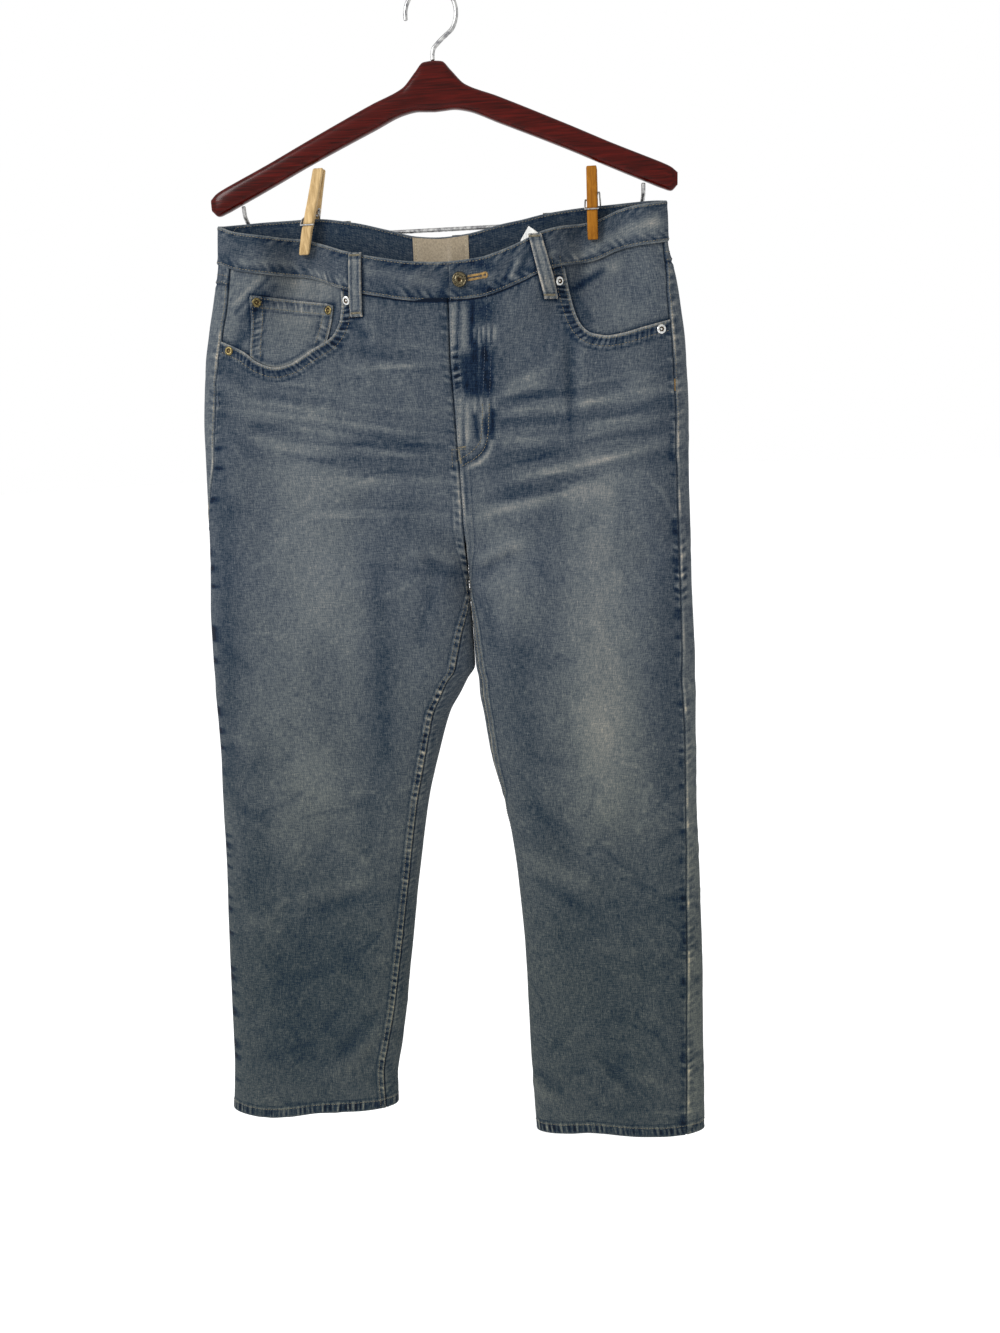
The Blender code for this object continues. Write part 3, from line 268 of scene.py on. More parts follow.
class Skin:
    """The outer face of one half of the jeans.

    A place on it is (u, z): u runs from the inner edge (0) over the front to the outer
    edge (1) and over the back to the inner edge again (2). On a leg the tube is closed.
    """

    COLUMNS = 384
    # Rows of the master grid: from, to, step.
    STRETCHES = [(12, -150, -2.0), (-150, -370, -2.0), (-370, LOWEST_Z - 1, -4.0)]

    def __init__(self, side):
        self.side = side
        self.sign = SIDES[side]
        self.z = np.concatenate([np.arange(*stretch) for stretch in self.STRETCHES])[::-1]
        u, z = np.meshgrid(np.linspace(0, 2, self.COLUMNS + 1), self.z)
        closed = smooth_step((CROTCH_Z + RISE_TURN - z) / RISE_TURN)
        outer = OUTLINE(side + "_out", z)
        inner = OUTLINE(side + "_in", z) + self.sign * SEAM_GAP / 2
        width = np.abs(outer - inner)
        half_turn = (1 - np.cos(np.pi * u)) / 2
        quarter_turn = np.sin(np.pi * np.minimum(u, 2 - u) / 2)
        across = closed * half_turn + (1 - closed) * quarter_turn
        x = inner + (outer - inner) * across
        from_outer, from_inner = width * (1 - across), width * across
        reach = np.minimum(EDGE_ROUND, width / 2)
        round_in = closed * round_end(from_inner / reach)
        round_in += (1 - closed) * smooth_step(from_inner / reach)
        depth = DEPTH("half", z) * (1 + CROWN * np.sin(np.pi * across))
        depth = depth * round_end(from_outer / reach) * (1 - closed + closed * round_in)
        face = np.where(u < 1, -1.0, 1.0)
        y = DEPTH("middle", z) + face * depth
        y = self.pinched(x, y, z, face * depth / DEPTH("half", z))
        front = smooth_step(0.5 - face * depth / DEPTH("half", z) * 0.8)
        hang = smooth_step((z - SAG_ENDS_Z) / SAG_FADE)
        sag = front * TOP_EDGE_FRONT("z", x) + (1 - front) * TOP_EDGE_BACK("z", x)
        points = np.stack([x, y, z + sag * hang], axis=-1)
        self.points = points
        self.closed = closed[:, 0] > 0.999
        self.set_normals()
        lift = fold_height(x, points[..., 2], front)
        lift = lift * smooth_step((-z - FOLDS_BEGIN) / FOLDS_FADE_IN)
        self.points = points + self.normals * lift[..., None]
        self.set_normals()

    def pinched(self, x, y, z, share):
        """The clothespins press the front and the back of the waist together."""
        for pin in PINS.values():
            spread = PINCH_SPREAD + np.clip(-BAND_HEIGHT - z, 0, None) * PINCH_WIDENS
            beyond = np.clip(np.abs(x - pin["x"]) - PINCH_HALF_WIDTH, 0, None)
            hold = bell(beyond, spread) * smooth_step((z - PINCH_ENDS_Z) / PINCH_FADE)
            y = y + (PINNED_Y + share * PINNED_HALF - y) * hold
        return y

    def set_normals(self):
        """Works out which way is out of the cloth at each point."""
        p = self.points
        along_u = np.gradient(p, axis=1)
        wrap = p[:, 1] - p[:, -2]
        along_u[self.closed, 0] = wrap[self.closed] / 2
        along_u[self.closed, -1] = wrap[self.closed] / 2
        along_z = np.gradient(p, axis=0)
        n = np.cross(along_u, along_z) * self.sign
        self.normals = n / np.linalg.norm(n, axis=-1, keepdims=True)

    def at(self, u, z, out=0.0):
        """The points at (u, z), moved out from the cloth's face."""
        u, z = np.broadcast_arrays(np.asarray(u, float), np.asarray(z, float))
        u = np.where(u < 0, u + 2, np.where(u > 2, u - 2, u))
        i = np.clip(np.searchsorted(self.z, z, side="right") - 1, 0, len(self.z) - 2)
        s = np.clip((z - self.z[i]) / (self.z[i + 1] - self.z[i]), 0, 1)[..., None]
        k = u / 2 * self.COLUMNS
        j = np.clip(k.astype(int), 0, self.COLUMNS - 1)
        t = (k - j)[..., None]

        def mix(a):
            """Between the four nearest points of the master grid."""
            low = a[i, j] * (1 - t) + a[i, j + 1] * t
            high = a[i + 1, j] * (1 - t) + a[i + 1, j + 1] * t
            return low * (1 - s) + high * s

        n = mix(self.normals)
        n = n / np.linalg.norm(n, axis=-1, keepdims=True)
        return mix(self.points) + n * np.asarray(out, float)[..., None]

    def seam(self, edge, z):
        """u of the outseam or inseam at these heights."""
        z = np.asarray(z, float)
        inset = SEAMS(f"{self.side}_{edge}", z)
        found = np.zeros(len(z))
        centre = 1.0 if edge == "out" else 0.0
        forward = -1.0 if edge == "out" else 1.0
        reach = np.linspace(0, 0.5, 400)
        for n, (height, far) in enumerate(zip(z, inset)):
            tip = self.at(centre, height)[0]
            u = centre + forward * np.sign(far) * reach
            gone = np.abs(self.at(u, height)[:, 0] - tip)
            found[n] = np.interp(abs(far), gone, u) if far else centre
        return found

    def on_face(self, face, x, z):
        """(u, row height) of the place on the front or back with this x and z."""
        x, z = np.broadcast_arrays(np.asarray(x, float), np.asarray(z, float))
        u, row = np.full(x.shape, 0.5), z.astype(float).copy()
        for _ in range(40):
            sampled = u if face == "front" else 2 - u
            p = self.at(sampled, row)
            row = row + (z - p[..., 2]) * 0.8
            step = 0.01
            other = self.at(sampled + (step if face == "front" else -step), row)
            slope = (other[..., 0] - p[..., 0]) / step
            slope = np.where(np.abs(slope) < 20, 20 * self.sign, slope)
            u = np.clip(u + np.clip((x - p[..., 0]) / slope, -0.1, 0.1) * 0.8, 0.005, 0.985)
        return (u if face == "front" else 2 - u), row


SKINS = {side: Skin(side) for side in SIDES}
print("skins:", {side: skin.points.shape for side, skin in SKINS.items()})

# %% [markdown]
# ## Colours and shader nodes
# Colours are written as sRGB hex values, the way a swatch is, and one function turns them into
# the linear values that a shader works with. A second one adds a node with its settings, and the
# short ones after it set up the few nodes that every material uses.

# %% Colour and node helpers
def colour(hex_code):
    """An sRGB hex colour as linear red, green, blue and alpha."""
    parts = [int(hex_code[k:k + 2], 16) / 255 for k in (1, 3, 5)]
    return tuple(p / 12.92 if p <= 0.04045 else ((p + 0.055) / 1.055) ** 2.4 for p in parts) + (1.0,)


def add(tree, kind, inputs=None, **settings):
    """Adds a node. Settings are its properties; inputs are values or other nodes' outputs."""
    made = tree.nodes.new(kind)
    for key, value in settings.items():
        setattr(made, key, value)
    for key, value in (inputs or {}).items():
        if isinstance(value, bpy.types.NodeSocket):
            tree.links.new(value, made.inputs[key])
        else:
            made.inputs[key].default_value = value
    return made


def maths(tree, operation, *values, clamp=False):
    """One Math node on numbers or other nodes' outputs."""
    made = add(tree, "ShaderNodeMath", dict(enumerate(values)), operation=operation, use_clamp=clamp)
    return made.outputs[0]


def map_range(tree, value, low, high, to_low=0.0, to_high=1.0):
    """A value moved from one range into another, and kept inside it."""
    inputs = {"Value": value, "From Min": low, "From Max": high, "To Min": to_low, "To Max": to_high}
    return add(tree, "ShaderNodeMapRange", inputs).outputs[0]


def mapping(tree, place, **values):
    """Turned or scaled coordinates."""
    return add(tree, "ShaderNodeMapping", {"Vector": place, **values}).outputs[0]


def noise_texture(tree, place, scale, detail, **values):
    """Soft random values from 0 to 1, mostly near a half."""
    inputs = {"Vector": place, "Scale": scale, "Detail": detail, **values}
    return add(tree, "ShaderNodeTexNoise", inputs).outputs["Fac"]


def wave_texture(tree, place, apart, distortion, detail_scale=2.0, **settings):
    """Wavering lines, this far `apart` in the units of `place`."""
    inputs = {"Vector": place, "Scale": 2 * math.pi / apart / 20, "Distortion": distortion,
              "Detail": 1.0, "Detail Scale": detail_scale}
    return add(tree, "ShaderNodeTexWave", inputs, **settings).outputs["Fac"]


def attribute(tree, name, output="Vector"):
    """A mesh attribute."""
    return add(tree, "ShaderNodeAttribute", attribute_name=name).outputs[output]


def object_place(tree):
    """Object coordinates, in metres."""
    return add(tree, "ShaderNodeTexCoord").outputs["Object"]


def new_material(name, roughness, metallic=0.0, **values):
    """A material with its Principled shader, constants set on the shader's own sockets."""
    made = bpy.data.materials.new(name)
    made.use_nodes = True
    shader = made.node_tree.nodes["Principled BSDF"]
    values = {"Roughness": roughness, "Metallic": metallic, **values}
    for key, value in values.items():
        shader.inputs[key.replace("_", " ")].default_value = value
    return made, made.node_tree, shader


def ramp(tree, value, stops):
    """Colours along a value from 0 to 1."""
    made = add(tree, "ShaderNodeValToRGB", {"Fac": value})
    while len(made.color_ramp.elements) < len(stops):
        made.color_ramp.elements.new(0.5)
    for element, (place, hex_code) in zip(made.color_ramp.elements, stops):
        element.position = place
        element.color = colour(hex_code)
    return made.outputs["Color"]


def surface(tree, shader, base_colour, height=None, strength=0.0, distance=0.0):
    """Gives the shader its colour, and a height field as fine relief."""
    tree.links.new(base_colour, shader.inputs["Base Color"])
    if height is not None:
        bump = add(tree, "ShaderNodeBump", {"Height": height, "Strength": strength, "Distance": distance})
        tree.links.new(bump.outputs[0], shader.inputs["Normal"])


print("helpers ready")

# %% [markdown]
# ## Washed denim
# Denim is a twill of blue warp threads, which run down the leg, over white weft threads. Washing
# takes blue off the raised places, so it is palest on the thighs, on ridges and on seam edges, and
# stays dark where it folds. The tone also carries painted shade: dark lines in folds, creases and
# seam grooves, and under the waistband, the fly's lap and the pockets' edges. Three attributes of
# the mesh carry that: `grain` is the place along the weave in metres, `tone` runs from dark (-1)
# to worn (1), and `rope` is the place beside the nearest seam, where the two layers shrink
# unevenly and pucker into short dark and pale dashes.

# %% Denim material
DENIM_STOPS = [
    # tone from -1.5 to 1.5, as 0 to 1
    (0.0, "#030d1c"), (0.167, "#081a2f"), (0.333, "#212d39"), (0.5, "#3a414a"),
    (0.667, "#52585c"), (0.833, "#6f706f"), (1.0, "#9e978b"),
]
NOISES = [
    # across and along the warp in mm, and how much it changes the tone
    (0.7, 3.4, 1.5), (4.2, 0.75, 1.8), (0.6, 0.8, 1.3), (0.9, 9.0, 1.2), (3.0, 4.0, 0.3),
    (10.0, 30.0, 0.1),
]
INNER_TONE = -0.45                    # hidden layers never faded
PUCKER_UNIT = 0.55                    # `rope` counts a seam's length in this share of a pucker
WASH_TINT = "#fffadc"                 # the wash yellows the cloth, most on the shins
TWILL = 2.2                           # between the diagonal lines; 0.8 mm on the real cloth
TWILL_LEAN = 0.45


def denim_material(name, lighter=0.0, on_mesh=True):
    """Denim; cloth without the mesh attributes reads Object coordinates instead."""
    made, tree, shader = new_material(
        name, 0.88, Sheen_Weight=0.03, Sheen_Roughness=0.5, Specular_IOR_Level=0.1)
    if on_mesh:
        place, tone = attribute(tree, "grain"), attribute(tree, "tone", "Fac")
    else:
        place, tone = mapping(tree, object_place(tree), Rotation=(math.pi / 2, 0, 0)), INNER_TONE
    total = maths(tree, "ADD", tone, lighter)
    threads, mixed = None, 0.0
    for across, along, amount in NOISES:
        scale = (1 / (across * MM), 1 / (along * MM), 1 / (across * MM))
        noise = noise_texture(tree, mapping(tree, place, Scale=scale), 0.6, 1.5, Roughness=0.55)
        mixed = maths(tree, "MULTIPLY_ADD", maths(tree, "ADD", noise, -0.5), amount, mixed)
        threads = threads or noise
    unworn = map_range(tree, total, -0.5, 0.7, 0.85, 0.55)        # worn cloth is the more even
    total = maths(tree, "MULTIPLY_ADD", mixed, unworn, total)
    twill = wave_texture(tree, mapping(tree, place, Rotation=(0, 0, TWILL_LEAN)), TWILL * MM, 1.2)
    total = maths(tree, "MULTIPLY_ADD", twill, 0.14, total)
    height = maths(tree, "MULTIPLY_ADD", twill, 0.5, threads)
    if on_mesh:
        total, height = add_puckers(tree, total, height)
    dyed = ramp(tree, map_range(tree, total, -1.5, 1.5), DENIM_STOPS)
    down = add(tree, "ShaderNodeSeparateXYZ", {0: place}).outputs[1]
    low = map_range(tree, down, -0.35, -0.8, -0.08, 0.84)         # from the knees down
    patches = noise_texture(tree, place, 22.0, 3.0)
    tint = maths(tree, "MULTIPLY_ADD", patches, 0.25, low, clamp=True)
    tinted = add(tree, "ShaderNodeMix", {
        "Factor": maths(tree, "MULTIPLY", tint, 0.75), "A": dyed, "B": colour(WASH_TINT)},
        data_type="RGBA", blend_type="MULTIPLY")
    surface(tree, shader, tinted.outputs["Result"], height, 0.55, 0.00045)
    return made


def add_puckers(tree, tone, height):
    """Short dark hollows and pale ridges across a seam's edge, from the `rope` attribute."""
    rope = attribute(tree, "rope")
    _, away, strength = add(tree, "ShaderNodeSeparateXYZ", {0: rope}).outputs
    stretched = mapping(tree, rope, Scale=(1.0, 0.45, 0.0))
    noise = noise_texture(tree, stretched, 1.0, 0.5, Roughness=0.4)
    dashes = wave_texture(tree, stretched, 1 / PUCKER_UNIT, 1.8)
    ridge = maths(tree, "MULTIPLY_ADD", dashes, 0.55, map_range(tree, noise, 0.41, 0.57, 0.0, 0.45))
    band = maths(tree, "MULTIPLY", map_range(tree, away, 0.0, 0.35), map_range(tree, away, 1.25, 0.65))
    band = maths(tree, "MULTIPLY", band, strength)
    swing = map_range(tree, ridge, 0.0, 1.0, -0.85, 0.5)
    lift = maths(tree, "MULTIPLY", ridge, band)
    return (maths(tree, "MULTIPLY_ADD", swing, band, tone),
            maths(tree, "MULTIPLY_ADD", lift, 1.6, height))


denim = denim_material("washed_denim")
denim_back = denim_material("denim_wrong_side", lighter=0.35)
denim_plain = denim_material("denim_inner_layers", on_mesh=False)
print("denim:", len(denim.node_tree.nodes), "nodes")

# %% [markdown]
# ## Thread, metal, wood and labels
# Each of the other finishes starts from what the real thing is. Topstitching thread is polyester
# with a soft shine. Rivets are bright nickel or aged brass. The hanger is dark stained hardwood
# under lacquer, the clothespins are bare softwood, and the wire is zinc-plated steel.

# %% Thread, metal, wood and label materials
def thread_material(name, dark, light):
    """Twisted thread: the twist shows as a soft change along it."""
    made, tree, shader = new_material(name, 0.62, Sheen_Weight=0.25)
    twist = noise_texture(tree, object_place(tree), 420.0, 2.0)
    surface(tree, shader, ramp(tree, twist, [(0.3, dark), (0.7, light)]))
    return made


def metal_material(name, dark, light, roughness, scale=900.0):
    """Plated metal with worn and tarnished patches."""
    made, tree, shader = new_material(name, roughness, 1.0)
    worn = noise_texture(tree, object_place(tree), scale, 3.0)
    surface(tree, shader, ramp(tree, worn, [(0.35, dark), (0.65, light)]), worn, 0.15, 0.0002)
    return made


def wood_material(name, dark, light, roughness, along, coat=0.0):
    """Wood whose grain runs along an axis: narrow streaks 1 to 2 mm wide."""
    made, tree, shader = new_material(
        name, roughness, Coat_Weight=coat, Coat_Roughness=0.12, Specular_IOR_Level=0.1)
    scale = [520.0, 520.0, 520.0]
    scale["XYZ".index(along)] = 22.0
    drawn = mapping(tree, object_place(tree), Scale=tuple(scale))
    grain = noise_texture(tree, drawn, 1.0, 4.0, Roughness=0.6, Distortion=0.4)
    surface(tree, shader, ramp(tree, grain, [(0.3, dark), (0.7, light)]), grain, 0.2, 0.0003)
    return made


def label_material(name, dark, light, ribs):
    """Woven ribbon: fine ribs across it, `ribs` millimetres apart."""
    made, tree, shader = new_material(name, 0.55, Sheen_Weight=0.3)
    place = object_place(tree)
    rib = wave_texture(tree, place, ribs * MM, 0.6, 1.0, bands_direction="Z")
    woven = maths(tree, "MULTIPLY", maths(tree, "ADD", rib, noise_texture(tree, place, 700.0, 2.0)), 0.5)
    surface(tree, shader, ramp(tree, woven, [(0.2, dark), (0.8, light)]), woven, 0.25, 0.0002)
    return made


tan_thread = thread_material("tan_topstitch_thread", "#4c4635", "#7a7159")
gold_thread = thread_material("gold_topstitch_thread", "#54401a", "#967434")
pale_thread = thread_material("pale_label_thread", "#8d8065", "#bdb094")
blue_thread = thread_material("blue_seam_thread", "#1c2836", "#39495a")
nickel = metal_material("polished_nickel", "#a9aaa8", "#e6e6e2", 0.3)
brass = metal_material("aged_brass", "#3a3423", "#85774f", 0.46)
gunmetal = metal_material("antiqued_button_metal", "#14120e", "#6f6650", 0.36)
dark_metal = metal_material("dark_rivet_centre", "#1a140f", "#4f3f2c", 0.45)
zinc = metal_material("zinc_plated_wire", "#77777a", "#bdbdbb", 0.34, 300.0)
mahogany = wood_material("lacquered_mahogany", "#200301", "#4a0b06", 0.24, "X", coat=0.04)
pale_pine = wood_material("bare_pine", "#947a52", "#c5a97c", 0.68, "Z")
orange_pine = wood_material("oiled_pine", "#71440c", "#98631a", 0.62, "Z")
taupe_label = label_material("taupe_woven_label", "#4d422f", "#a2937a", 0.9)
white_label = label_material("white_printed_ribbon", "#cfcfcb", "#f4f4f0", 0.8)
print("materials:", len(bpy.data.materials))

# %% [markdown]
# ## Where the cloth is worn and creased
# Two maps, one for the front and one for the back, hold a number for each square millimetre.
# Soft strokes are laid on them like chalk: the wear of the thighs, the whiskers at the hips and
# painted shade in folds and creases on one map, low ridges and troughs on the other. Fine random
# creases fill in between.

# %% Strokes of wear, painted shade and creasing
# x0, z0, x1, z1, width, how much paler (or darker if negative)
FADES_FRONT = [
    (-137, -209, -147, -416, 48, 0.42), (-167, -416, -185, -632, 50, 0.28),
    (-112, -332, -122, -550, 22, 0.1), (-179, -562, -183, -638, 40, -0.1),
    (-159, -533, -167, -641, 20, 0.15), (-230, -527, -241, -718, 20, -0.2),
    (-134, -416, -139, -550, 26, -0.12), (-76, -332, -82, -550, 9, -0.26),
    (-45, -333, -50, -482, 14, 0.08), (-234, -267, -263, -597, 13, -0.34),
    (-75, -417, -108, -667, 20, -0.16), (157, -218, 158, -377, 38, 0.5),
    (152, -377, 148, -549, 38, 0.55), (154, -565, 153, -616, 44, 0.45),
    (125, -276, 126, -398, 14, 0.1), (216, -337, 219, -593, 11, -0.16),
    (67, -418, 81, -663, 16, -0.22), (10, -194, 3, -334, 30, 0.06),
    (-179, -704, -202, -989, 110, -0.45), (167, -697, 167, -997, 100, -0.33),
    (-144, -142, -23, -150, 22, 0.14), (173, -133, 202, -136, 26, 0.22),
    (77, -111, 116, -115, 20, 0.06), (-39, -78, 0, -82, 16, -0.1), (31, -273, 70, -335, 20, 0.26),
    (50, -334, 68, -402, 26, 0.34), (167, -781, 165, -932, 50, 0.06),
    (155, -483, 154, -593, 30, 0.14),
]
WHISKERS = [
    (-205, -177, -117, -188, 6.25, 0.34), (-117, -188, -21, -206, 6.25, 0.3),
    (-190, -210, -114, -217, 6.25, 0.28), (-76, -224, -15, -229, 5.625, 0.3),
    (-111, -248, 4, -255, 7.5, 0.28), (-108, -281, 0, -287, 6.25, 0.3),
    (-77, -139, -23, -142, 6.25, 0.22), (-163, -161, -87, -165, 8.75, 0.18),
    (-196, -194, -149, -200, 6.25, -0.34), (-90, -208, -11, -216, 7.5, -0.4),
    (-151, -225, -7, -232, 5.625, -0.26), (-113, -273, -10, -279, 5.625, -0.26),
    (-100, -127, -23, -130, 6.25, -0.25), (-198, -165, -147, -174, 6.25, -0.2),
    (-213, -207, -191, -219, 6.25, -0.2), (61, -166, 100, -154, 7.5, 0.34),
    (62, -187, 116, -183, 6.25, 0.36), (116, -183, 184, -176, 6.25, 0.24),
    (184, -176, 222, -166, 6.25, 0.28), (129, -208, 206, -197, 7.5, 0.3),
    (54, -215, 114, -209, 6.25, 0.2), (63, -249, 113, -244, 7.5, 0.34),
    (113, -244, 230, -220, 7.5, 0.24), (41, -284, 162, -264, 7.5, 0.34),
    (65, -176, 114, -172, 6.25, -0.36), (114, -172, 184, -165, 5.625, -0.3),
    (56, -198, 126, -198, 5.625, -0.34), (126, -198, 214, -181, 6.25, -0.36),
    (54, -231, 115, -225, 5.625, -0.3), (115, -225, 214, -209, 6.25, -0.36),
    (52, -266, 152, -247, 6.25, -0.36), (152, -247, 225, -231, 6.25, -0.3),
    (124, -113, 124, -182, 7.5, -0.32), (175, -257, 172, -337, 6.25, -0.2),
    (-85, -93, -73, -112, 5, -0.45), (-78, -92, -65, -105, 3, 0.35), (30, -78, 51, -82, 3, 0.4),
]
FLY_WEAR = [
    (14, -81, 12, -129, 3, 0.72), (24, -84, 22, -127, 2.6, 0.7), (19, -81, 16, -133, 1.2, -0.88),
    (32, -81, 30, -124, 2.2, -1.22), (44, -80, 43, -103, 12, -0.96),
    (44, -106, 44, -121, 10, 0.17), (33, -107, 33, -119, 1.2, 0.8),
    (38, -107, 37, -122, 1.1, 1.01), (42, -106, 42, -121, 1.1, 0.87),
    (47, -106, 47, -121, 1.2, 0.9), (53, -105, 52, -120, 1.3, 0.8),
    (36, -108, 35, -123, 1, -0.88), (40, -109, 40, -123, 1, -0.79), (45, -108, 44, -123, 1, -0.7),
    (50, -108, 49, -125, 1.2, -0.7), (23, -133, 22, -167, 4.5, -0.96),
    (29, -130, 28, -171, 3.2, -1.05), (35, -121, 33, -173, 3.4, -1.14),
    (41, -124, 39, -171, 3.4, -1.05), (45, -127, 44, -169, 3.4, -0.88),
    (50, -130, 49, -164, 3.2, -0.7), (33, -111, 32, -139, 2.4, -0.44),
    (44, -115, 43, -138, 2.6, -0.53), (25, -156, 24, -177, 2, -0.53),
    (47, -157, 46, -178, 2.4, -0.53), (28, -133, 26, -168, 0.9, 0.65),
    (38, -122, 36, -156, 1.1, 0.72), (42, -134, 40, -167, 0.9, 0.43),
    (32, -139, 31, -168, 0.8, 0.36), (47, -128, 46, -153, 1, 0.43),
    (53, -129, 52, -168, 1.6, 0.29), (17, -172, 15, -219, 2.6, 0.72),
    (24, -172, 23, -216, 3, 0.78), (21, -173, 18, -243, 1, -0.79),
    (32, -172, 31, -189, 1.4, 0.87), (38, -173, 40, -195, 1.3, 0.87),
    (45, -173, 44, -187, 1.4, 0.87), (51, -172, 51, -184, 1.5, 0.72),
    (31, -187, 33, -214, 2.2, -1.05), (41, -191, 42, -210, 2.6, -1.05),
    (49, -184, 47, -214, 2.4, -1.31), (37, -189, 37, -220, 1.1, 0.65),
    (45, -195, 44, -214, 0.9, 0.51), (44, -207, 41, -221, 1.8, -0.88),
    (41, -221, 32, -230, 1.8, -0.96), (32, -230, 20, -235, 1.8, -0.88),
    (54, -129, 53, -170, 9, -0.25), (48, -213, 44, -226, 1.8, 0.9), (44, -226, 35, -235, 2, 1.04),
    (35, -235, 21, -241, 2.2, 1.09), (15, -129, 13, -166, 3.4, -1.05),
    (12, -133, 19, -131, 1, 1.38), (11, -138, 18, -137, 1, 1.3), (11, -144, 18, -142, 1, 1.38),
    (12, -150, 19, -148, 1, 1.23), (11, -155, 19, -153, 1, 1.3), (11, -161, 18, -159, 1, 1.3),
    (12, -166, 19, -163, 1, 1.16), (-8, -122, -12, -213, 9, 0.12), (14, -245, 15, -285, 3, 0.43),
    (19, -247, 19, -285, 1.6, -0.61),
]
# Worn patches on the pocket facings, and painted shade: dark strokes in their folds beside paler lit
# sides.
POCKET_WEAR_AND_FOLD_SHADE = [
    (-169, -51, -206, -83, 1.8, -0.75), (-175, -49, -210, -77, 1.8, 0.38),
    (-164, -57, -195, -83, 2.4, -0.3), (-177, -64, -208, -113, 6, -0.6),
    (-163, -58, -202, -92, 4, -0.45), (-192, -100, -209, -120, 4, -0.45),
    (-189, -68, -199, -100, 4, 0.3), (-162, -52, -108, -60, 7, 0.33),
    (-154, -73, -131, -102, 22, 0.38), (-109, -75, -105, -104, 5, -0.38),
    (127, -75, 158, -57, 3.4, -1.27), (141, -59, 174, -54, 7, 0.52),
    (155, -87, 192, -98, 22, 0.24), (131, -79, 145, -109, 5, -0.45),
    (178, -79, 202, -89, 10, -0.18),
]
# Worn streaks on the waistband, and painted light and shade on the two sides of its creases.
BAND_WEAR_AND_CREASE_SHADE = [
    (-136, -44, -93, -60, 5, 0.5), (-200, -36, -146, -38, 4, 0.45), (-72, -49, 1, -66, 4, 0.36),
    (79, -45, 68, -66, 1.5, 0.65), (72, -49, 63, -68, 1.8, -0.58), (87, -40, 78, -60, 1.8, -0.58),
    (67, -50, 57, -69, 1.2, 0.47), (58, -53, 48, -68, 1.3, 0.36), (92, -42, 85, -55, 1.2, 0.43),
    (98, -50, 114, -40, 3, 0.54), (174, -22, 211, -18, 4, 0.45), (157, -31, 216, -20, 8, 0.65),
    (129, -41, 157, -33, 6, 0.22), (117, -51, 155, -37, 4, 0.54),
    (-195, -18, -135, -24, 5, -0.22), (-57, -43, -8, -50, 4, -0.36),
    (155, -23, 193, -19, 5, -0.36), (11, -58, 1, -75, 4, -0.54), (40, -68, 64, -73, 4, -0.63),
    (31, -47, 60, -55, 5, -0.72),
]
FADES_BACK = [
    (-125, -190, -120, -300, 52, 0.42), (120, -190, 118, -300, 52, 0.42),
    (-150, -400, -165, -600, 44, 0.26), (140, -400, 135, -600, 44, 0.26),
    (-180, -704, -200, -1000, 105, -0.42), (160, -700, 165, -1000, 100, -0.42),
    (0, -110, 4, -300, 16, -0.18), (-60, -385, -200, -355, 7, 0.3), (60, -385, 190, -352, 7, 0.3),
    (-60, -400, -190, -372, 5, -0.35), (62, -398, 180, -368, 5, -0.35),
    (-120, -668, -225, -655, 6, 0.32), (-110, -684, -215, -676, 5, -0.34),
    (-130, -700, -230, -700, 6, 0.3), (100, -664, 205, -652, 6, 0.32),
    (96, -680, 200, -674, 5, -0.34), (110, -697, 215, -697, 6, 0.3),
    (-70, -80, -190, -60, 12, 0.16), (70, -80, 190, -60, 12, 0.16),
]
# Creases: x0, z0, x1, z1, width, height in millimetres
CREASES_FRONT = [
    (-92, -96, -60, -150, 5, -0.7), (-84, -96, -64, -118, 4, 0.6), (108, -96, 96, -150, 5, -0.6),
    (127, -118, 128, -190, 4, -0.65), (119, -122, 121, -185, 6, 0.4), (136, -120, 134, -178, 6, 0.7),
    (-30, -330, 8, -352, 7, -1.2), (-44, -322, 6, -334, 7, 0.9), (22, -352, 66, -326, 7, -1.1),
    (24, -336, 80, -312, 7, 0.9), (-20, -362, -40, -420, 8, -0.9), (30, -372, 44, -430, 8, -0.9),
    (-228, -130, -196, -152, 6, -0.9), (-232, -148, -180, -172, 6, 0.8), (222, -150, 180, -168, 6, 0.7),
    (-250, -420, -222, -452, 9, -0.9), (-258, -520, -225, -540, 10, 0.9),
    (-262, -604, -216, -622, 9, -0.9),
    (-110, -690, -190, -712, 8, 0.8), (-100, -706, -176, -730, 8, -0.9), (-262, -742, -214, -752, 8, 0.7),
    (70, -598, 118, -634, 9, -0.9), (66, -660, 150, -700, 9, 0.8), (74, -688, 138, -722, 8, -0.8),
    (238, -700, 196, -726, 8, -0.7), (130, -760, 190, -776, 8, 0.6), (-150, -800, -230, -822, 9, -0.6),
    (-120, -862, -160, -918, 8, -1.1), (-112, -880, -148, -934, 7, 0.8), (-130, -905, -176, -948, 8, 0.8),
    (-190, -900, -262, -926, 9, -0.7), (140, -900, 176, -944, 7, -0.8), (132, -908, 168, -952, 7, 0.7),
    (176, -896, 142, -940, 7, -0.7), (190, -930, 232, -950, 8, 0.6), (66, -936, 96, -950, 8, -1.4),
    (64, -950, 92, -966, 8, 1.1), (200, -968, 150, -975, 6, -0.7),
]
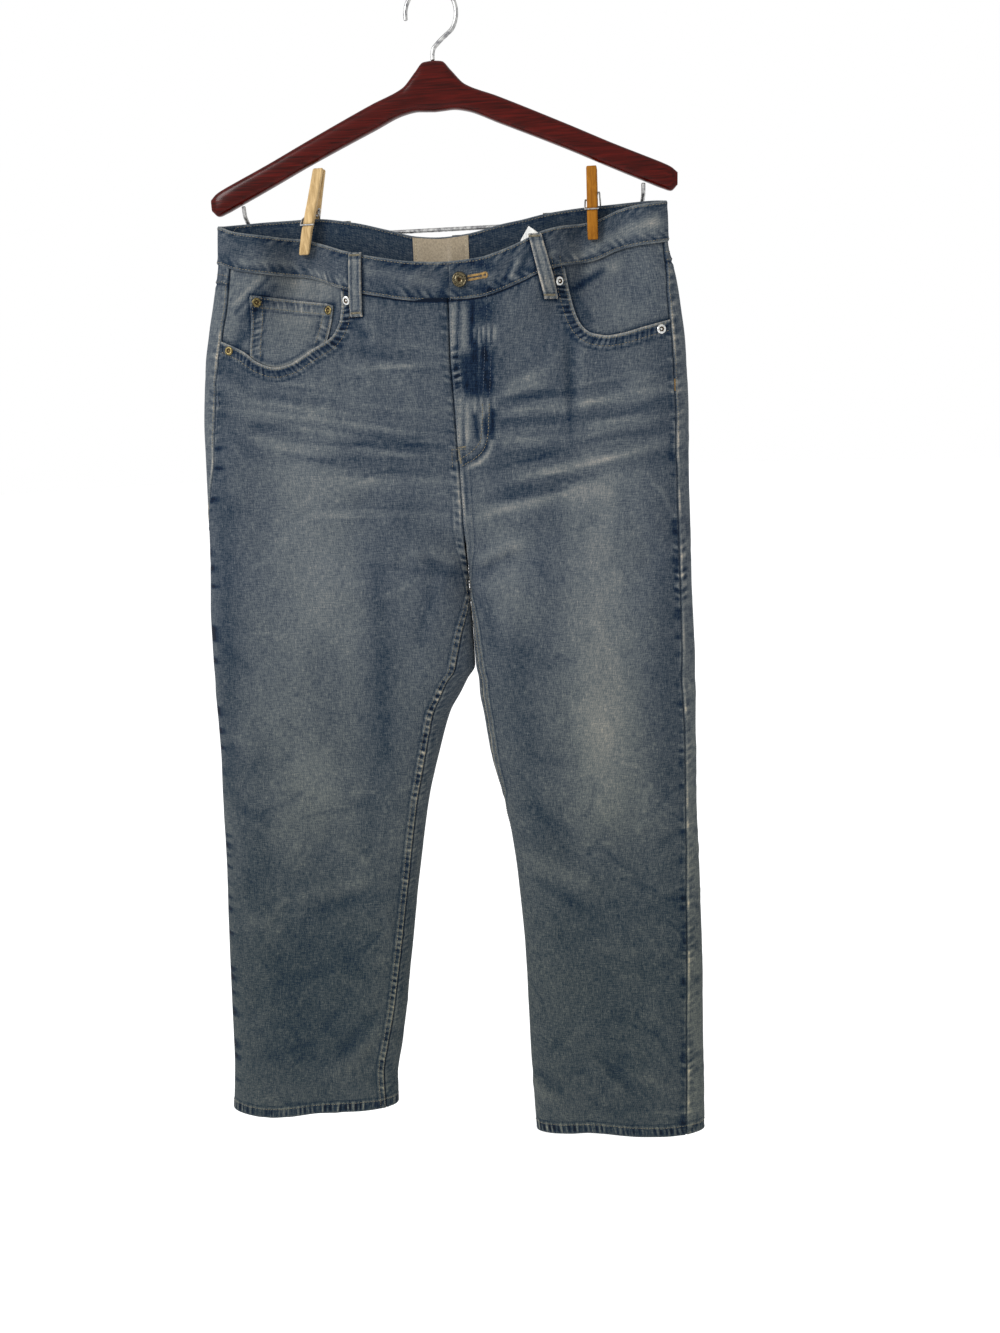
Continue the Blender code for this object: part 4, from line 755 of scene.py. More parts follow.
CREASES_BACK = [
    (-60, -330, -170, -368, 9, -1.0), (-50, -350, -160, -392, 8, 0.9), (60, -330, 160, -366, 9, -1.0),
    (52, -352, 150, -390, 8, 0.9), (-20, -120, -60, -150, 7, 0.6), (26, -120, 70, -152, 7, -0.6),
    (-110, -650, -220, -672, 8, -1.0), (-120, -672, -236, -690, 8, 0.9),
    (-130, -700, -240, -716, 8, -0.8),
    (100, -648, 214, -668, 8, -1.0), (96, -670, 220, -686, 8, 0.9), (110, -694, 218, -712, 8, -0.8),
    (-190, -480, -230, -520, 9, 0.7), (180, -470, 222, -512, 9, -0.7), (-160, -860, -230, -900, 9, 0.8),
    (150, -850, 214, -884, 9, 0.7), (90, -900, 150, -940, 8, -0.7), (-120, -920, -190, -952, 8, -0.7),
]
CREASES_BAND = [
    (80, -44, 66, -68, 2.6, 0.5), (71, -46, 60, -70, 2.6, -0.6), (90, -40, 80, -66, 2.6, -0.6),
    (60, -46, 44, -70, 4, 0.5), (-8, -46, -40, -74, 5, 0.5), (-120, -20, -136, -46, 5, -0.5),
    (-60, -44, -30, -62, 5, -0.4), (120, -26, 134, -50, 4, 0.5), (190, -12, 204, -34, 5, -0.4),
    (112, -30, 150, -22, 4, -0.5),
]
WHISKER_RISE = 1.1      # mm of height for a whisker's full change of tone
print("strokes:", len(FADES_FRONT + WHISKERS + FLY_WEAR + POCKET_WEAR_AND_FOLD_SHADE + BAND_WEAR_AND_CREASE_SHADE + FADES_BACK))


# %% Maps of wear and creases
class Map:
    """A value for each square millimetre of the front or the back."""

    LOW_X, HIGH_X, LOW_Z, HIGH_Z = -330, 290, -1045, 20

    def __init__(self):
        self.value = np.zeros((self.HIGH_Z - self.LOW_Z + 1, self.HIGH_X - self.LOW_X + 1))

    def cells(self, a, b, margin, low, high):
        """The first and last cell of a stroke from a to b with its margin."""
        return [int(np.clip(v, low, high)) for v in (min(a, b) - margin, max(a, b) + margin)]

    def lay(self, strokes, scale=1.0, fade=0.0):
        """Adds soft strokes: a bell across, and ends that fade out.

        They fade over the stroke's width, or over the share `fade` of its length if that is more.
        """
        for x0, z0, x1, z1, width, amount in strokes:
            soft = max(width, fade * math.hypot(x1 - x0, z1 - z0))
            margin = 2.6 * max(width, 0.4 * soft)
            left, right = self.cells(x0, x1, margin, self.LOW_X, self.HIGH_X)
            low, high = self.cells(z0, z1, margin, self.LOW_Z, self.HIGH_Z)
            z, x = np.mgrid[low:high + 1, left:right + 1]
            run = np.array([x1 - x0, z1 - z0], float)
            length = np.hypot(*run)
            along = ((x - x0) * run[0] + (z - z0) * run[1]) / length
            off = ((x - x0) * run[1] - (z - z0) * run[0]) / length
            ends = smooth_step((along + soft) / (2 * soft))
            ends *= smooth_step((length - along + soft) / (2 * soft))
            rows = slice(low - self.LOW_Z, high - self.LOW_Z + 1)
            columns = slice(left - self.LOW_X, right - self.LOW_X + 1)
            self.value[rows, columns] += scale * amount * ends * bell(off, width)

    def mottle(self, seed, wide, high, amount):
        """Adds smooth random patches of about this size."""
        noise = np.random.default_rng(seed).standard_normal(self.value.shape)
        fz = np.fft.fftfreq(noise.shape[0])[:, None] * high
        fx = np.fft.fftfreq(noise.shape[1])[None, :] * wide
        soft = np.fft.ifft2(np.fft.fft2(noise) * np.exp(-4.0 * (fx**2 + fz**2))).real
        self.value += amount * soft / soft.std()

    def patchy(self, seed, wide, high, least):
        """Weakens what is laid so far in random patches, down to a share of it."""
        noise = Map()
        noise.mottle(seed, wide, high, 1.0)
        self.value *= least + (1 - least) * smooth_step(0.5 + 0.45 * noise.value)

    def read(self, x, z):
        """The value at these places, mixed from the four nearest cells."""
        x = np.clip(x, self.LOW_X, self.HIGH_X - 1.001) - self.LOW_X
        z = np.clip(z, self.LOW_Z, self.HIGH_Z - 1.001) - self.LOW_Z
        j, i = x.astype(int), z.astype(int)
        s, t = z - i, x - j
        v = self.value
        return ((v[i, j] * (1 - t) + v[i, j + 1] * t) * (1 - s)
                + (v[i + 1, j] * (1 - t) + v[i + 1, j + 1] * t) * s)


def small_creases(seed, count):
    """Random short creases: slanting on the hips and thighs, crossing on the shins."""
    draw = np.random.default_rng(seed)
    rows = []
    for _ in range(count):
        side = -1 if draw.random() < 0.5 else 1
        z = -120 - 880 * draw.random() ** 0.8
        x = side * (30 + 220 * draw.random()) if z > -360 else side * (80 + 180 * draw.random())
        lean = draw.normal(0.5 if z > -420 else 0.2, 0.7) * -side
        if z < -620:
            lean = draw.choice([-0.9, 0.8]) + draw.normal(0, 0.35)
        length, width = draw.uniform(12, 52), draw.uniform(2.4, 4.6)
        height = draw.choice([-1, 1]) * draw.uniform(0.2, 0.6) * width / 4 * (1.7 if z < -600 else 1.0)
        dx, dz = math.cos(lean) * length / 2, math.sin(lean) * length / 2
        rows.append((x - dx, z - dz, x + dx, z + dz, width, height))
    return rows


def fine_whiskers(seed):
    """Thinner and fainter lines between the whiskers, nearly parallel to them."""
    draw = np.random.default_rng(seed)
    rows = []
    for x0, z0, x1, z1, _, _ in WHISKERS:
        for _ in range(4):
            slide, off = draw.uniform(-0.4, 0.4), draw.normal(0, 9)
            dx, dz, turn = (x1 - x0) * slide, (z1 - z0) * slide + off, draw.normal(0, 3)
            rows.append((x0 + dx, z0 + dz - turn, x1 + dx, z1 + dz + turn, draw.uniform(1.6, 3.0),
                         draw.choice([-1, 1]) * draw.uniform(0.1, 0.26)))
    return rows


def wrinkle_lines(seed, count):
    """Crisp thin lines, mostly slanting across the shins, where the cloth was crushed while wet."""
    draw = np.random.default_rng(seed)
    rows = []
    for _ in range(count):
        side = -1 if draw.random() < 0.5 else 1
        z = -560 - 430 * draw.random() if draw.random() < 0.7 else -130 - 430 * draw.random()
        x = side * (60 + 190 * draw.random())
        lean = draw.choice([-0.85, 0.75, 0.1]) + draw.normal(0, 0.25)
        length, width = draw.uniform(14, 60), draw.uniform(1.3, 2.4)
        amount = draw.choice([-1, 1]) * draw.uniform(0.1, 0.26)
        for _ in range(3):
            dx, dz = math.cos(lean) * length / 3, math.sin(lean) * length / 3
            rows.append((x, z, x + dx, z + dz, width, amount))
            x, z, lean = x + dx, z + dz, lean + draw.normal(0, 0.25)
    return rows


WHISKER_GAIN, CREASE_GAIN, BAND_GAIN, LINE_GAIN = 0.95, 1.5, 1.6, 1.6
OVERALL_TONE, RIDGE_WEAR_AND_TROUGH_SHADE = -0.035, 0.2
WEAR_AND_SHADE = {"front": Map(), "back": Map()}
CREASE = {"front": Map(), "back": Map()}
whiskers = Map()
whiskers.lay(WHISKERS, WHISKER_GAIN, fade=0.28)
whiskers.lay(fine_whiskers(41), fade=0.3)
whiskers.patchy(42, 16, 9, 0.75)
WEAR_AND_SHADE["front"].value += whiskers.value
for rows, fade in ((FADES_FRONT, 0), (FLY_WEAR, 0.14), (POCKET_WEAR_AND_FOLD_SHADE, 0), (BAND_WEAR_AND_CREASE_SHADE, 0)):
    WEAR_AND_SHADE["front"].lay(rows, fade=fade)
WEAR_AND_SHADE["back"].lay(FADES_BACK)
CREASE["front"].lay(CREASES_FRONT, CREASE_GAIN, fade=0.15)
CREASE["front"].lay(CREASES_BAND, BAND_GAIN)
CREASE["front"].lay(small_creases(11, 300), fade=0.3)
CREASE["front"].value += WHISKER_RISE * whiskers.value
CREASE["back"].lay(CREASES_BACK, CREASE_GAIN, fade=0.15)
CREASE["back"].lay(small_creases(12, 300), fade=0.3)
for seed, face in ((21, "front"), (22, "back")):
    wear_and_shade, crease = WEAR_AND_SHADE[face], CREASE[face]
    wear_and_shade.value += OVERALL_TONE
    for later, wide, high, amount in ((0, 26, 60, 0.03), (10, 8, 16, 0.02), (40, 3, 9, 0.03)):
        wear_and_shade.mottle(seed + later, wide, high, amount)
    lines = wrinkle_lines(seed + 50, 150)
    # The wrinkle lines tone the cloth with the sign of their height: raised ones paler, as worn ridges,
    # sunk ones darker, as painted shade.
    wear_and_shade.lay(lines)
    crease.lay(lines, LINE_GAIN)
    # Crease ridges worn paler, and painted shade darkening the troughs.
    wear_and_shade.value += RIDGE_WEAR_AND_TROUGH_SHADE * np.clip(crease.value, -1.5, 1.2)
    for later, wide, high, amount in ((20, 40, 55, 0.30), (30, 12, 16, 0.07)):
        crease.mottle(seed + later, wide, high, amount)
print("maps:", {face: round(float(np.abs(m.value).max()), 2) for face, m in CREASE.items()})

# %% [markdown]
# ## From numbers to a cloth shell
# A piece of cloth is a grid of points on the skin. `Cloth` holds the grid with its normals, tone,
# weave and seam attributes. It is cut along an outline where it has one, then closed into a thin
# shell: an outer layer, an inner one and a rim between them.

# %% Lines and distances on the cloth
def toward(x, z, a, b):
    """(distance, share of the run, length) from places to the straight run from a to b."""
    (ax, az), (bx, bz) = a, b
    length = math.hypot(bx - ax, bz - az)
    t = np.clip(((x - ax) * (bx - ax) + (z - az) * (bz - az)) / length**2, 0, 1)
    return np.hypot(x - ax - t * (bx - ax), z - az - t * (bz - az)), t, length


def outline_field(x, z, outline):
    """Distance to a closed outline in x and z, positive inside it."""
    line = np.array(outline, float)
    best = np.full(x.shape, 1e9)
    inside = np.zeros(x.shape, bool)
    for (ax, az), (bx, bz) in zip(line, np.roll(line, -1, axis=0)):
        best = np.minimum(best, toward(x, z, (ax, az), (bx, bz))[0])
        crosses = (az > z) != (bz > z)
        with np.errstate(divide="ignore", invalid="ignore"):
            inside ^= crosses & (x < ax + (z - az) * (bx - ax) / (bz - az))
    return np.where(inside, best, -best)


def beside(x, z, line):
    """(distance, running length) of each place from an open line in x and z."""
    line = np.array(line, float)
    best, along, done = np.full(x.shape, 1e9), np.zeros(x.shape), 0.0
    for a, b in zip(line, line[1:]):
        away, t, length = toward(x, z, a, b)
        along = np.where(away < best, done + t * length, along)
        best = np.minimum(best, away)
        done += length
    return best, along


def running_length(points):
    """How far along its line each point lies."""
    return np.concatenate([[0], np.cumsum(np.linalg.norm(np.diff(points, axis=0), axis=1))])


def smooth_line(points, step=4.0, more=1):
    """More points along a line, on a smooth curve through the given ones."""
    points = np.array(points, float)
    length = running_length(points)
    at = np.linspace(0, length[-1], max(2, int(length[-1] / step)) + more)
    return np.stack([Table("s v", list(zip(length, column)))("v", at) for column in points.T], axis=1)


WAVES = np.random.default_rng(5).uniform(-1, 1, 512)


def ripple(s):
    """Smooth random waves from -1 to 1, one about every unit of s."""
    i = np.floor(s).astype(int)
    f = smooth_step(s - i)
    return WAVES[i % 512] * (1 - f) + WAVES[(i + 1) % 512] * f


def along_rows(values, field):
    """The value where each row's field passes 0, as a column."""
    found = []
    for row, v in zip(field, values):
        crossing = np.nonzero(np.diff(np.sign(row)))[0]
        k = crossing[len(crossing) // 2] if len(crossing) else int(np.argmin(np.abs(row)))
        k = min(k, len(row) - 2)
        t = row[k] / (row[k] - row[k + 1]) if len(crossing) else 0.0
        found.append(v[k] + (v[k + 1] - v[k]) * t)
    return np.array(found)[:, None]


print("lines ready")

# %% A grid of cloth
# The warp threads run along this straight line down each leg: x at height 0 and its slope.
GRAIN_LINE = {"right": (-100.0, 0.088), "left": (118.0, -0.04)}
FAR_FROM_SEAMS = 9.0                  # a `rope` distance where nothing puckers


class Cloth:
    """A grid of points on the skin, with what its material reads."""

    def __init__(self, side, u, z, lift=0.0):
        skin = SKINS[side]
        self.u, self.z = np.broadcast_arrays(u, z)
        self.smooth = skin.at(self.u, self.z)
        self.normal = skin.at(self.u, self.z, 1.0) - self.smooth
        self.lift = np.zeros(self.u.shape) + lift
        self.front = smooth_step(0.5 - 0.8 * self.normal[..., 1])
        x, height = self.place()
        self.tone, self.crease = (
            self.front * pair["front"].read(x, height) + (1 - self.front) * pair["back"].read(x, height)
            for pair in (WEAR_AND_SHADE, CREASE))
        self.measure()
        middle = GRAIN_LINE[side][0] + GRAIN_LINE[side][1] * height
        warp = self.from_start - along_rows(self.from_start, x - middle)
        self.grain = np.stack([warp, height, 0 * height], axis=-1) * MM

    def place(self):
        """x and height of the grid's points."""
        return self.smooth[..., 0], self.smooth[..., 2]

    def beside(self, line):
        """(distance, running length) of each point from an open line of (x, z)."""
        return beside(*self.place(), line)

    def inside(self, outline):
        """Distance to a closed outline of (x, z), positive inside it."""
        return outline_field(*self.place(), outline)

    def below_band(self):
        """Distance down from the waistband's lower edge."""
        return np.clip(-BAND_HEIGHT - self.z, 0, None)

    def measure(self):
        """Lengths along the rows from either end, and no seam near yet."""
        step = np.linalg.norm(np.diff(self.smooth, axis=1), axis=2)
        self.from_start = np.concatenate([np.zeros((len(step), 1)), np.cumsum(step, axis=1)], axis=1)
        self.from_end = self.from_start[:, -1:] - self.from_start
        self.rope = np.zeros(self.smooth.shape)
        self.rope[..., 1] = FAR_FROM_SEAMS

    def shade(self, away, *bells, where=1.0):
        """Changes the tone along a distance: each bell is (change, width, middle)."""
        for change, wide, middle in bells:
            self.tone += where * change * bell(away, wide, middle)

    def seam(self, away, along, width, pitch, strength, groove=0.8, ridge=0.45, pale=0.4, slant=0.35):
        """Shapes and shades the cloth beside a seam `away` millimetres off.

        Puckers `pitch` long reach `width` from the seam, and slant as they go. Beside the seam's
        groove the cloth stands up in a ridge, which wears pale. The groove gets painted shade: a dark
        line along the seam.
        """
        share = away / width
        strength = strength * (0.8 + 0.35 * ripple(along / 38.0))
        nearer = share < self.rope[..., 1]
        count = (along + slant * away) / (PUCKER_UNIT * pitch)
        for k, value in enumerate((count, share, strength)):
            self.rope[..., k] = np.where(nearer, value, self.rope[..., k])
        near = bell(away, 0.9)
        self.lift += ridge * bell(away, 1.7, 2.3) - groove * near
        band = smooth_step(share / 0.25) * smooth_step((1.25 - share) / 0.5)
        self.lift += 0.42 * np.abs(strength) * band * ripple(along / pitch - 0.5 * share)
        broken = 0.65 + 0.75 * ripple(along / 13.0 + 40 * width)
        # The ridge's pale wear, and painted shade: a dark line in the seam's groove.
        self.tone += pale * broken * bell(away, 1.5, 1.9) - 0.9 * near * (groove > 0)

    def points(self, deeper=0.0):
        """Where the cloth lies in space, or a layer this much deeper."""
        out = self.lift + self.crease - deeper
        return self.smooth + self.normal * out[..., None]

    def data(self):
        """What the denim material reads at each point."""
        return {"tone": self.tone.ravel(), "grain": self.grain.reshape(-1, 3),
                "rope": self.rope.reshape(-1, 3)}


print("cloth ready")

# %% From points to meshes
def clipped(layers, data, faces, keep):
    """Cuts a triangle mesh along keep = 0 and leaves the part where keep is positive."""
    keep = np.where(np.abs(keep) < 0.08, 0.0, keep)
    inside = keep >= 0
    corners = inside[faces].sum(axis=1)
    kept = [faces[corners == 3]]
    edges, made = {}, []

    def middle(a, b):
        """The new point on this edge, where keep passes 0."""
        key = (a, b) if a < b else (b, a)
        if key not in edges:
            edges[key] = len(keep) + len(made)
            t = keep[key[0]] / (keep[key[0]] - keep[key[1]])
            made.append((key[0], key[1], t))
        return edges[key]

    def grown(v):
        """Values with those of the new points added."""
        share = t if v.ndim == 1 else t[:, None]
        return np.concatenate([v, v[low] + (v[high] - v[low]) * share])

    extra = []
    for face in faces[(corners == 1) | (corners == 2)]:
        odd = next(k for k in range(3) if inside[face[k]] == (int(inside[face].sum()) == 1))
        a, b, c = (int(v) for v in np.roll(face, -odd))
        ab, ac = middle(a, b), middle(a, c)
        if inside[a]:
            extra.append((a, ab, ac))
        else:
            extra += [(ab, b, c), (ab, c, ac)]
    if made:
        low, high, t = (np.array(v) for v in zip(*made))
        layers = [grown(v) for v in layers]
        data = {name: grown(v) for name, v in data.items()}
        kept.append(np.array(extra))
    faces = np.concatenate(kept)
    used, faces = np.unique(faces, return_inverse=True)
    faces = faces.reshape(-1, 3)
    return [v[used] for v in layers], {name: v[used] for name, v in data.items()}, faces


def triangles(rows, columns):
    """The faces of a grid of points, as triangles."""
    r, c = np.mgrid[0:rows - 1, 0:columns - 1]
    a = r * columns + c
    quads = np.stack([a, a + 1, a + 1 + columns, a + columns], axis=-1).reshape(-1, 4)
    return np.concatenate([quads[:, [0, 1, 2]], quads[:, [0, 2, 3]]])


def make_mesh(name, points, faces, materials, data=None, places=None, sharp=50):
    """A smooth mesh from points in millimetres, moved so that the hook is the origin."""
    mesh = bpy.data.meshes.new(name)
    world = (np.asarray(points, float) - (0, 0, HOOK_INSIDE_TOP)) * MM
    mesh.from_pydata(world.tolist(), [], [list(f) for f in faces])
    for key, values in (data or {}).items():
        kind, holder = ("FLOAT", "value") if values.ndim == 1 else ("FLOAT_VECTOR", "vector")
        layer = mesh.attributes.new(key, kind, "POINT")
        layer.data.foreach_set(holder, values.astype(np.float32).ravel())
    for material in materials:
        mesh.materials.append(material)
    if places is not None:
        mesh.polygons.foreach_set("material_index", np.asarray(places, np.int32))
    mesh.shade_smooth()
    mesh.set_sharp_from_angle(angle=math.radians(sharp))
    made = bpy.data.objects.new(name, mesh)
    bpy.context.scene.collection.objects.link(made)
    return made


def area_of(points, faces):
    """Square metres of a triangle mesh in millimetres."""
    a, b, c = (points[faces[:, k]] for k in range(3))
    return float(np.linalg.norm(np.cross(b - a, c - a), axis=1).sum() / 2) * MM * MM


def shell(name, outer, inner, faces, data, materials, inner_data=None):
    """A closed thin cloth: two layers of points with a rim round every edge."""
    count = len(outer)
    a, b, c = (outer[faces[:, k]] for k in range(3))
    facing = np.einsum("ij,ij->", np.cross(b - a, c - a), (outer - inner)[faces[:, 0]])
    if facing < 0:
        faces = faces[:, ::-1]
    edges = np.concatenate([faces[:, [0, 1]], faces[:, [1, 2]], faces[:, [2, 0]]]).astype(np.int64)
    rim = edges[~np.isin(edges[:, 0] * count + edges[:, 1], edges[:, 1] * count + edges[:, 0])]
    p, q = rim[:, 0], rim[:, 1]
    rims = np.concatenate([
        np.stack([q, p, p + count], axis=1), np.stack([q, p + count, q + count], axis=1)])
    every = np.concatenate([faces, faces[:, ::-1] + count, rims])
    both = {key: np.concatenate([v, (inner_data or {}).get(key, v)]) for key, v in data.items()}
    places = np.zeros(len(every))
    places[len(faces):2 * len(faces)] = len(materials) - 1
    made = make_mesh(name, np.concatenate([outer, inner]), every, materials, both, places)
    made["cloth_area"] = area_of(outer, faces)
    return made


PIECES = {}


def dress(piece, slot, *nodes):
    """The piece rides on the one body and stands for these nodes; `slot` is not used."""
    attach(piece, "root")
    if nodes:
        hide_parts(*nodes)
    PIECES[piece.name] = piece
    return piece


print("mesh helpers ready")

# %% [markdown]
# ## Front and back panels
# Each leg is two panels. Their grids are fine beside the seams, where the cloth ropes and puckers,
# and coarser in the middle. The inseam is a flat felled seam with two rows of stitches, so its
# edge is a raised band. The left front laps over the right one along the fly.

# %% Panels
TOP_ROW_Z = -33.5                     # the panels' first row lies a little under the waistband
YOKE_SIDE_Z, YOKE_MIDDLE_Z, YOKE_SLANT_ENDS_Z = -54.0, -102.0, -260.0
HEM_DROP_FROM_Z, HEM_ROWS_FROM_Z, HEM_Z = -820.0, -980.0, -1000.0
FLY_ENDS_Z, INSEAM_BAND = -239.0, 7.6
PANEL_WIDE = 215.0
BESIDE_SEAM = np.array([0, 0.6, 1.4, 2.4, 3.6, 5.0, 6.6, 8.4, 10.4, 12.8])
TOP_EDGES = {"front": TOP_EDGE_FRONT, "back": TOP_EDGE_BACK}
SURFACES, CLOTHS = [], {}


def spaced(*runs):
    """Shares of a panel's width, ending close together at its far seam."""
    return np.concatenate([*runs, PANEL_WIDE - BESIDE_SEAM[::-1]]) / PANEL_WIDE


PANEL_SHARE = spaced(BESIDE_SEAM, np.linspace(15.4, PANEL_WIDE - 15.4, 70))
FLY_SHARE = spaced(np.arange(0, 48, 1.15), np.linspace(49.5, PANEL_WIDE - 15.4, 56))
LEG_ROWS = np.concatenate([
    np.arange(-375.0, HEM_ROWS_FROM_Z, -3.5), np.arange(HEM_ROWS_FROM_Z, HEM_Z - 0.1, -1.6)])
FRONT_ROWS = np.concatenate([
    [TOP_ROW_Z], np.arange(-36.4, -250, -2.0), np.arange(-250.4, -373, -3.0), LEG_ROWS])
BACK_ROWS = np.concatenate([np.arange(YOKE_SIDE_Z, -373, -3.2), LEG_ROWS])


def panel_grid(side, face, rows, top=None, share=PANEL_SHARE):
    """u and row height of the points of a panel from seam to seam."""
    skin, front = SKINS[side], face == "front"
    start = skin.seam("in", rows) if front else skin.seam("out", rows)
    end = skin.seam("out", rows) if front else skin.seam("in", rows) + 2
    u = start[:, None] + (end - start)[:, None] * share
    z = np.repeat(rows[:, None], len(share), axis=1)
    drop = smooth_step((HEM_DROP_FROM_Z - rows) / (HEM_DROP_FROM_Z - HEM_ROWS_FROM_Z))[:, None]
    for _ in range(2):
        z = rows[:, None] + (HEMS[side]("z", skin.at(u, z)[..., 0]) - HEM_Z) * drop
    if top is not None:
        shift = top(skin.at(u, z)[..., 0]) - YOKE_SIDE_Z
        z = z + shift * smooth_step((rows - YOKE_SLANT_ENDS_Z) / (rows[0] - YOKE_SLANT_ENDS_Z))[:, None]
    return u, z


def yoke_edge(side):
    """Height of the seam under the back yoke: lowest at the centre back."""
    skin = SKINS[side]
    tip = float(skin.at(skin.seam("out", [YOKE_SIDE_Z])[0], YOKE_SIDE_Z)[0])
    middle = float(OUTLINE("right_in", -60.0))
    rise = YOKE_SIDE_Z - YOKE_MIDDLE_Z
    return lambda x: YOKE_MIDDLE_Z + rise * np.clip((x - middle) / (tip - middle), 0, 1)


def unit_rows(vectors):
    """The same directions, each of length 1."""
    return vectors / np.linalg.norm(vectors, axis=1, keepdims=True)


def mouth_line(side, out_by=0.0):
    """The pocket's mouth, moved into the opening by `out_by`."""
    line = smooth_line(POCKET_MOUTHS[side])
    run = unit_rows(np.gradient(line, axis=0))
    return line + np.stack([-run[:, 1], run[:, 0]], axis=1) * SIDES[side] * out_by


def mouth_area(side, smaller=0.0):
    """What the mouth opens, closed above the band and outside the outseam."""
    line = mouth_line(side, smaller)
    far = SIDES[side] * 290.0
    return [tuple(p) for p in line] + [(far, line[-1, 1] + 8), (far, -20.0), (line[0, 0], -20.0)]


def side_seams(cloth, front, left):
    """The long seams of a panel: fly or seat and inseam on one edge, outseam on the other."""
    height = cloth.place()[1]
    inner, outer = (cloth.from_start, cloth.from_end) if front else (cloth.from_end, cloth.from_start)
    rise = smooth_step((height - CROTCH_Z) / 20 + 0.5)
    leg, on_rise = 1 - rise, rise > 0.5
    leg_strength = 1.7 + 0.4 * ripple(height / 60 + (3 if left else 9))
    strength = np.where(on_rise, 1.1, leg_strength) if front else np.where(on_rise, 0.5, 0.6)
    cloth.seam(inner, -height, np.where(on_rise, 9.0, INSEAM_BAND), np.where(on_rise, 9.0, 7.6),
               strength, pale=0.35)
    if front:
        below_fly = rise * smooth_step((FLY_ENDS_Z + 6 - height) / 10)
        # Pale worn ridges along the seams, and painted shade: dark lines in the seam and at the outer
        # foot of each raised edge.
        cloth.shade(inner, (0.5, 1.3, 2.0), (0.4, 1.1, 8.6), (-0.4, 1.1, 10.6), where=below_fly)
        cloth.shade(inner, (0.85, 0.9, 1.6), (-0.5, 0.7, 0), (0.4, 1.0, INSEAM_BAND),
                    (-0.5, 1.1, INSEAM_BAND + 2.0), where=leg)
        cloth.lift += 0.45 * smooth_step((INSEAM_BAND + 0.8 - inner) / 1.6) * leg
    strength = np.clip(0.7 + 0.6 * ripple(height / 45 + (17 if left else 31)), 0.1, 1.3)
    cloth.seam(outer, -height, 7.0 if front else 9.0, 10.0, strength, pale=0.42 if front else 0.85)
    if front:
        cloth.shade(outer, (-0.16, 22, 0))
        dark, wide = (0.8, 4.0) if left else (1.7, 10.0)
        place = 4.5 if left else 5 + 23 * smooth_step((-300 - height) / 60)
    else:
        cloth.tone += (0.26 + 0.12 * smooth_step((-420 - height) / 200)) * smooth_step((38 - outer) / 28)
        dark, wide, place = 0.45, 4.0 if left else 10.0, 13
    # Dark notches along the leg's side, where its puckers throw shade.
    notch = np.clip(2.8 * ripple(height / 6.5 + (61 if left else 77)) - 0.8, 0, 1)
    cloth.shade(outer, (-dark, wide, place), where=notch * smooth_step((-150 - height) / 90))


def fly_edges(cloth, left):
    """The left front laps over the right one from the band to the end of the fly."""
    height, inner = cloth.place()[1], cloth.from_start
    fly = smooth_step((height - FLY_ENDS_Z) / 10)
    if left:
        cloth.lift += fly * (0.8 * bell(inner, 0.9) + 1.1 * smooth_step((26 - inner) / 16))
        cloth.shade(inner, (0.6, 1.8, 0), (0.35, 1.2, 9), where=fly)
        dashes = fly * smooth_step((-118 - height) / 8) * smooth_step((height + 168) / 8)
        cloth.rope[..., 2] = np.where(inner < 12, 0.25 * fly + 1.6 * dashes, cloth.rope[..., 2])
    else:
        cloth.lift -= fly * 1.1 * bell(inner, 4.0)
        # Painted shade on the right front, under the left one's lapped edge.
        cloth.shade(inner, (-0.5, 2.0, 0), where=fly)


LOOP_WIDTH, LOOP_HEIGHT, LOOP_WALL, LOOP_STEP = 12.0, 58.0, 1.4, 8.0
LOOPS = [
    # name, side, face, x at the top, x at the foot, how far it arches off the band, tone
    ("belt_loop_front_right", "right", "front", -79.5, -82.5, 2.2, 0.5),
    ("belt_loop_front_left", "left", "front", 94.0, 107.5, 2.2, 0.68),
    ("belt_loop_side_right", "right", "back", -96.0, -97.0, 0.0, 0.68),
    ("belt_loop_side_left", "left", "back", 106.0, 107.0, 0.0, 0.68),
    ("belt_loop_back", "left", "back", 17.0, 17.0, 1.6, 0.68),
]


def shade_under_loops(cloth):
    """The cloth round a belt loop kept its blue, and lies in the loop's shade."""
    x, height = cloth.place()
    for _, _, face, x_top, x_foot, _, _ in LOOPS:
        down = float(TOP_EDGES[face]("z", x_top)) - height
        share = np.clip(down / LOOP_HEIGHT, 0, 1)
        off = np.abs(x - x_top - (x_foot - x_top) * share) - LOOP_WIDTH / 2
        near = smooth_step((down + 2) / 3) * smooth_step((LOOP_HEIGHT + 4 - down) / 4)
        on_face = cloth.front if face == "front" else 1 - cloth.front
        cloth.shade(np.clip(off, 0, None), (-1.2, 1.9, 0), where=near * on_face)


def finish_panel(name, cloth, keep=None, thick=DENIM, back=None, inner_data=None):
    """Closes a panel's grid into a shell and dresses it."""
    if not name.startswith("belt"):
        shade_under_loops(cloth)
    unrolled = np.stack([cloth.from_start, -cloth.place()[1], 0 * cloth.z], axis=-1)
    layers = [v.reshape(-1, 3) for v in (cloth.points(), cloth.points(thick), cloth.smooth, unrolled)]
    data, faces = cloth.data(), triangles(*cloth.u.shape)
    if keep is not None:
        layers, data, faces = clipped(layers, data, faces, keep.ravel())
    made = shell(name + "_cloth", *layers[:2], faces, data, [denim, back or denim_back], inner_data)
    flat = [float(v) for v in np.ptp(layers[3], axis=0)[:2] * MM]
    made["flat"], made["flat_area"] = flat, min(area_of(layers[2], faces), flat[0] * flat[1])
    SURFACES.append((layers[0], faces))
    CLOTHS[name] = cloth
    print(f"{name}: {len(made.data.polygons)} faces, {made['cloth_area']:.3f} m2")
    return dress(made, "denim", name)


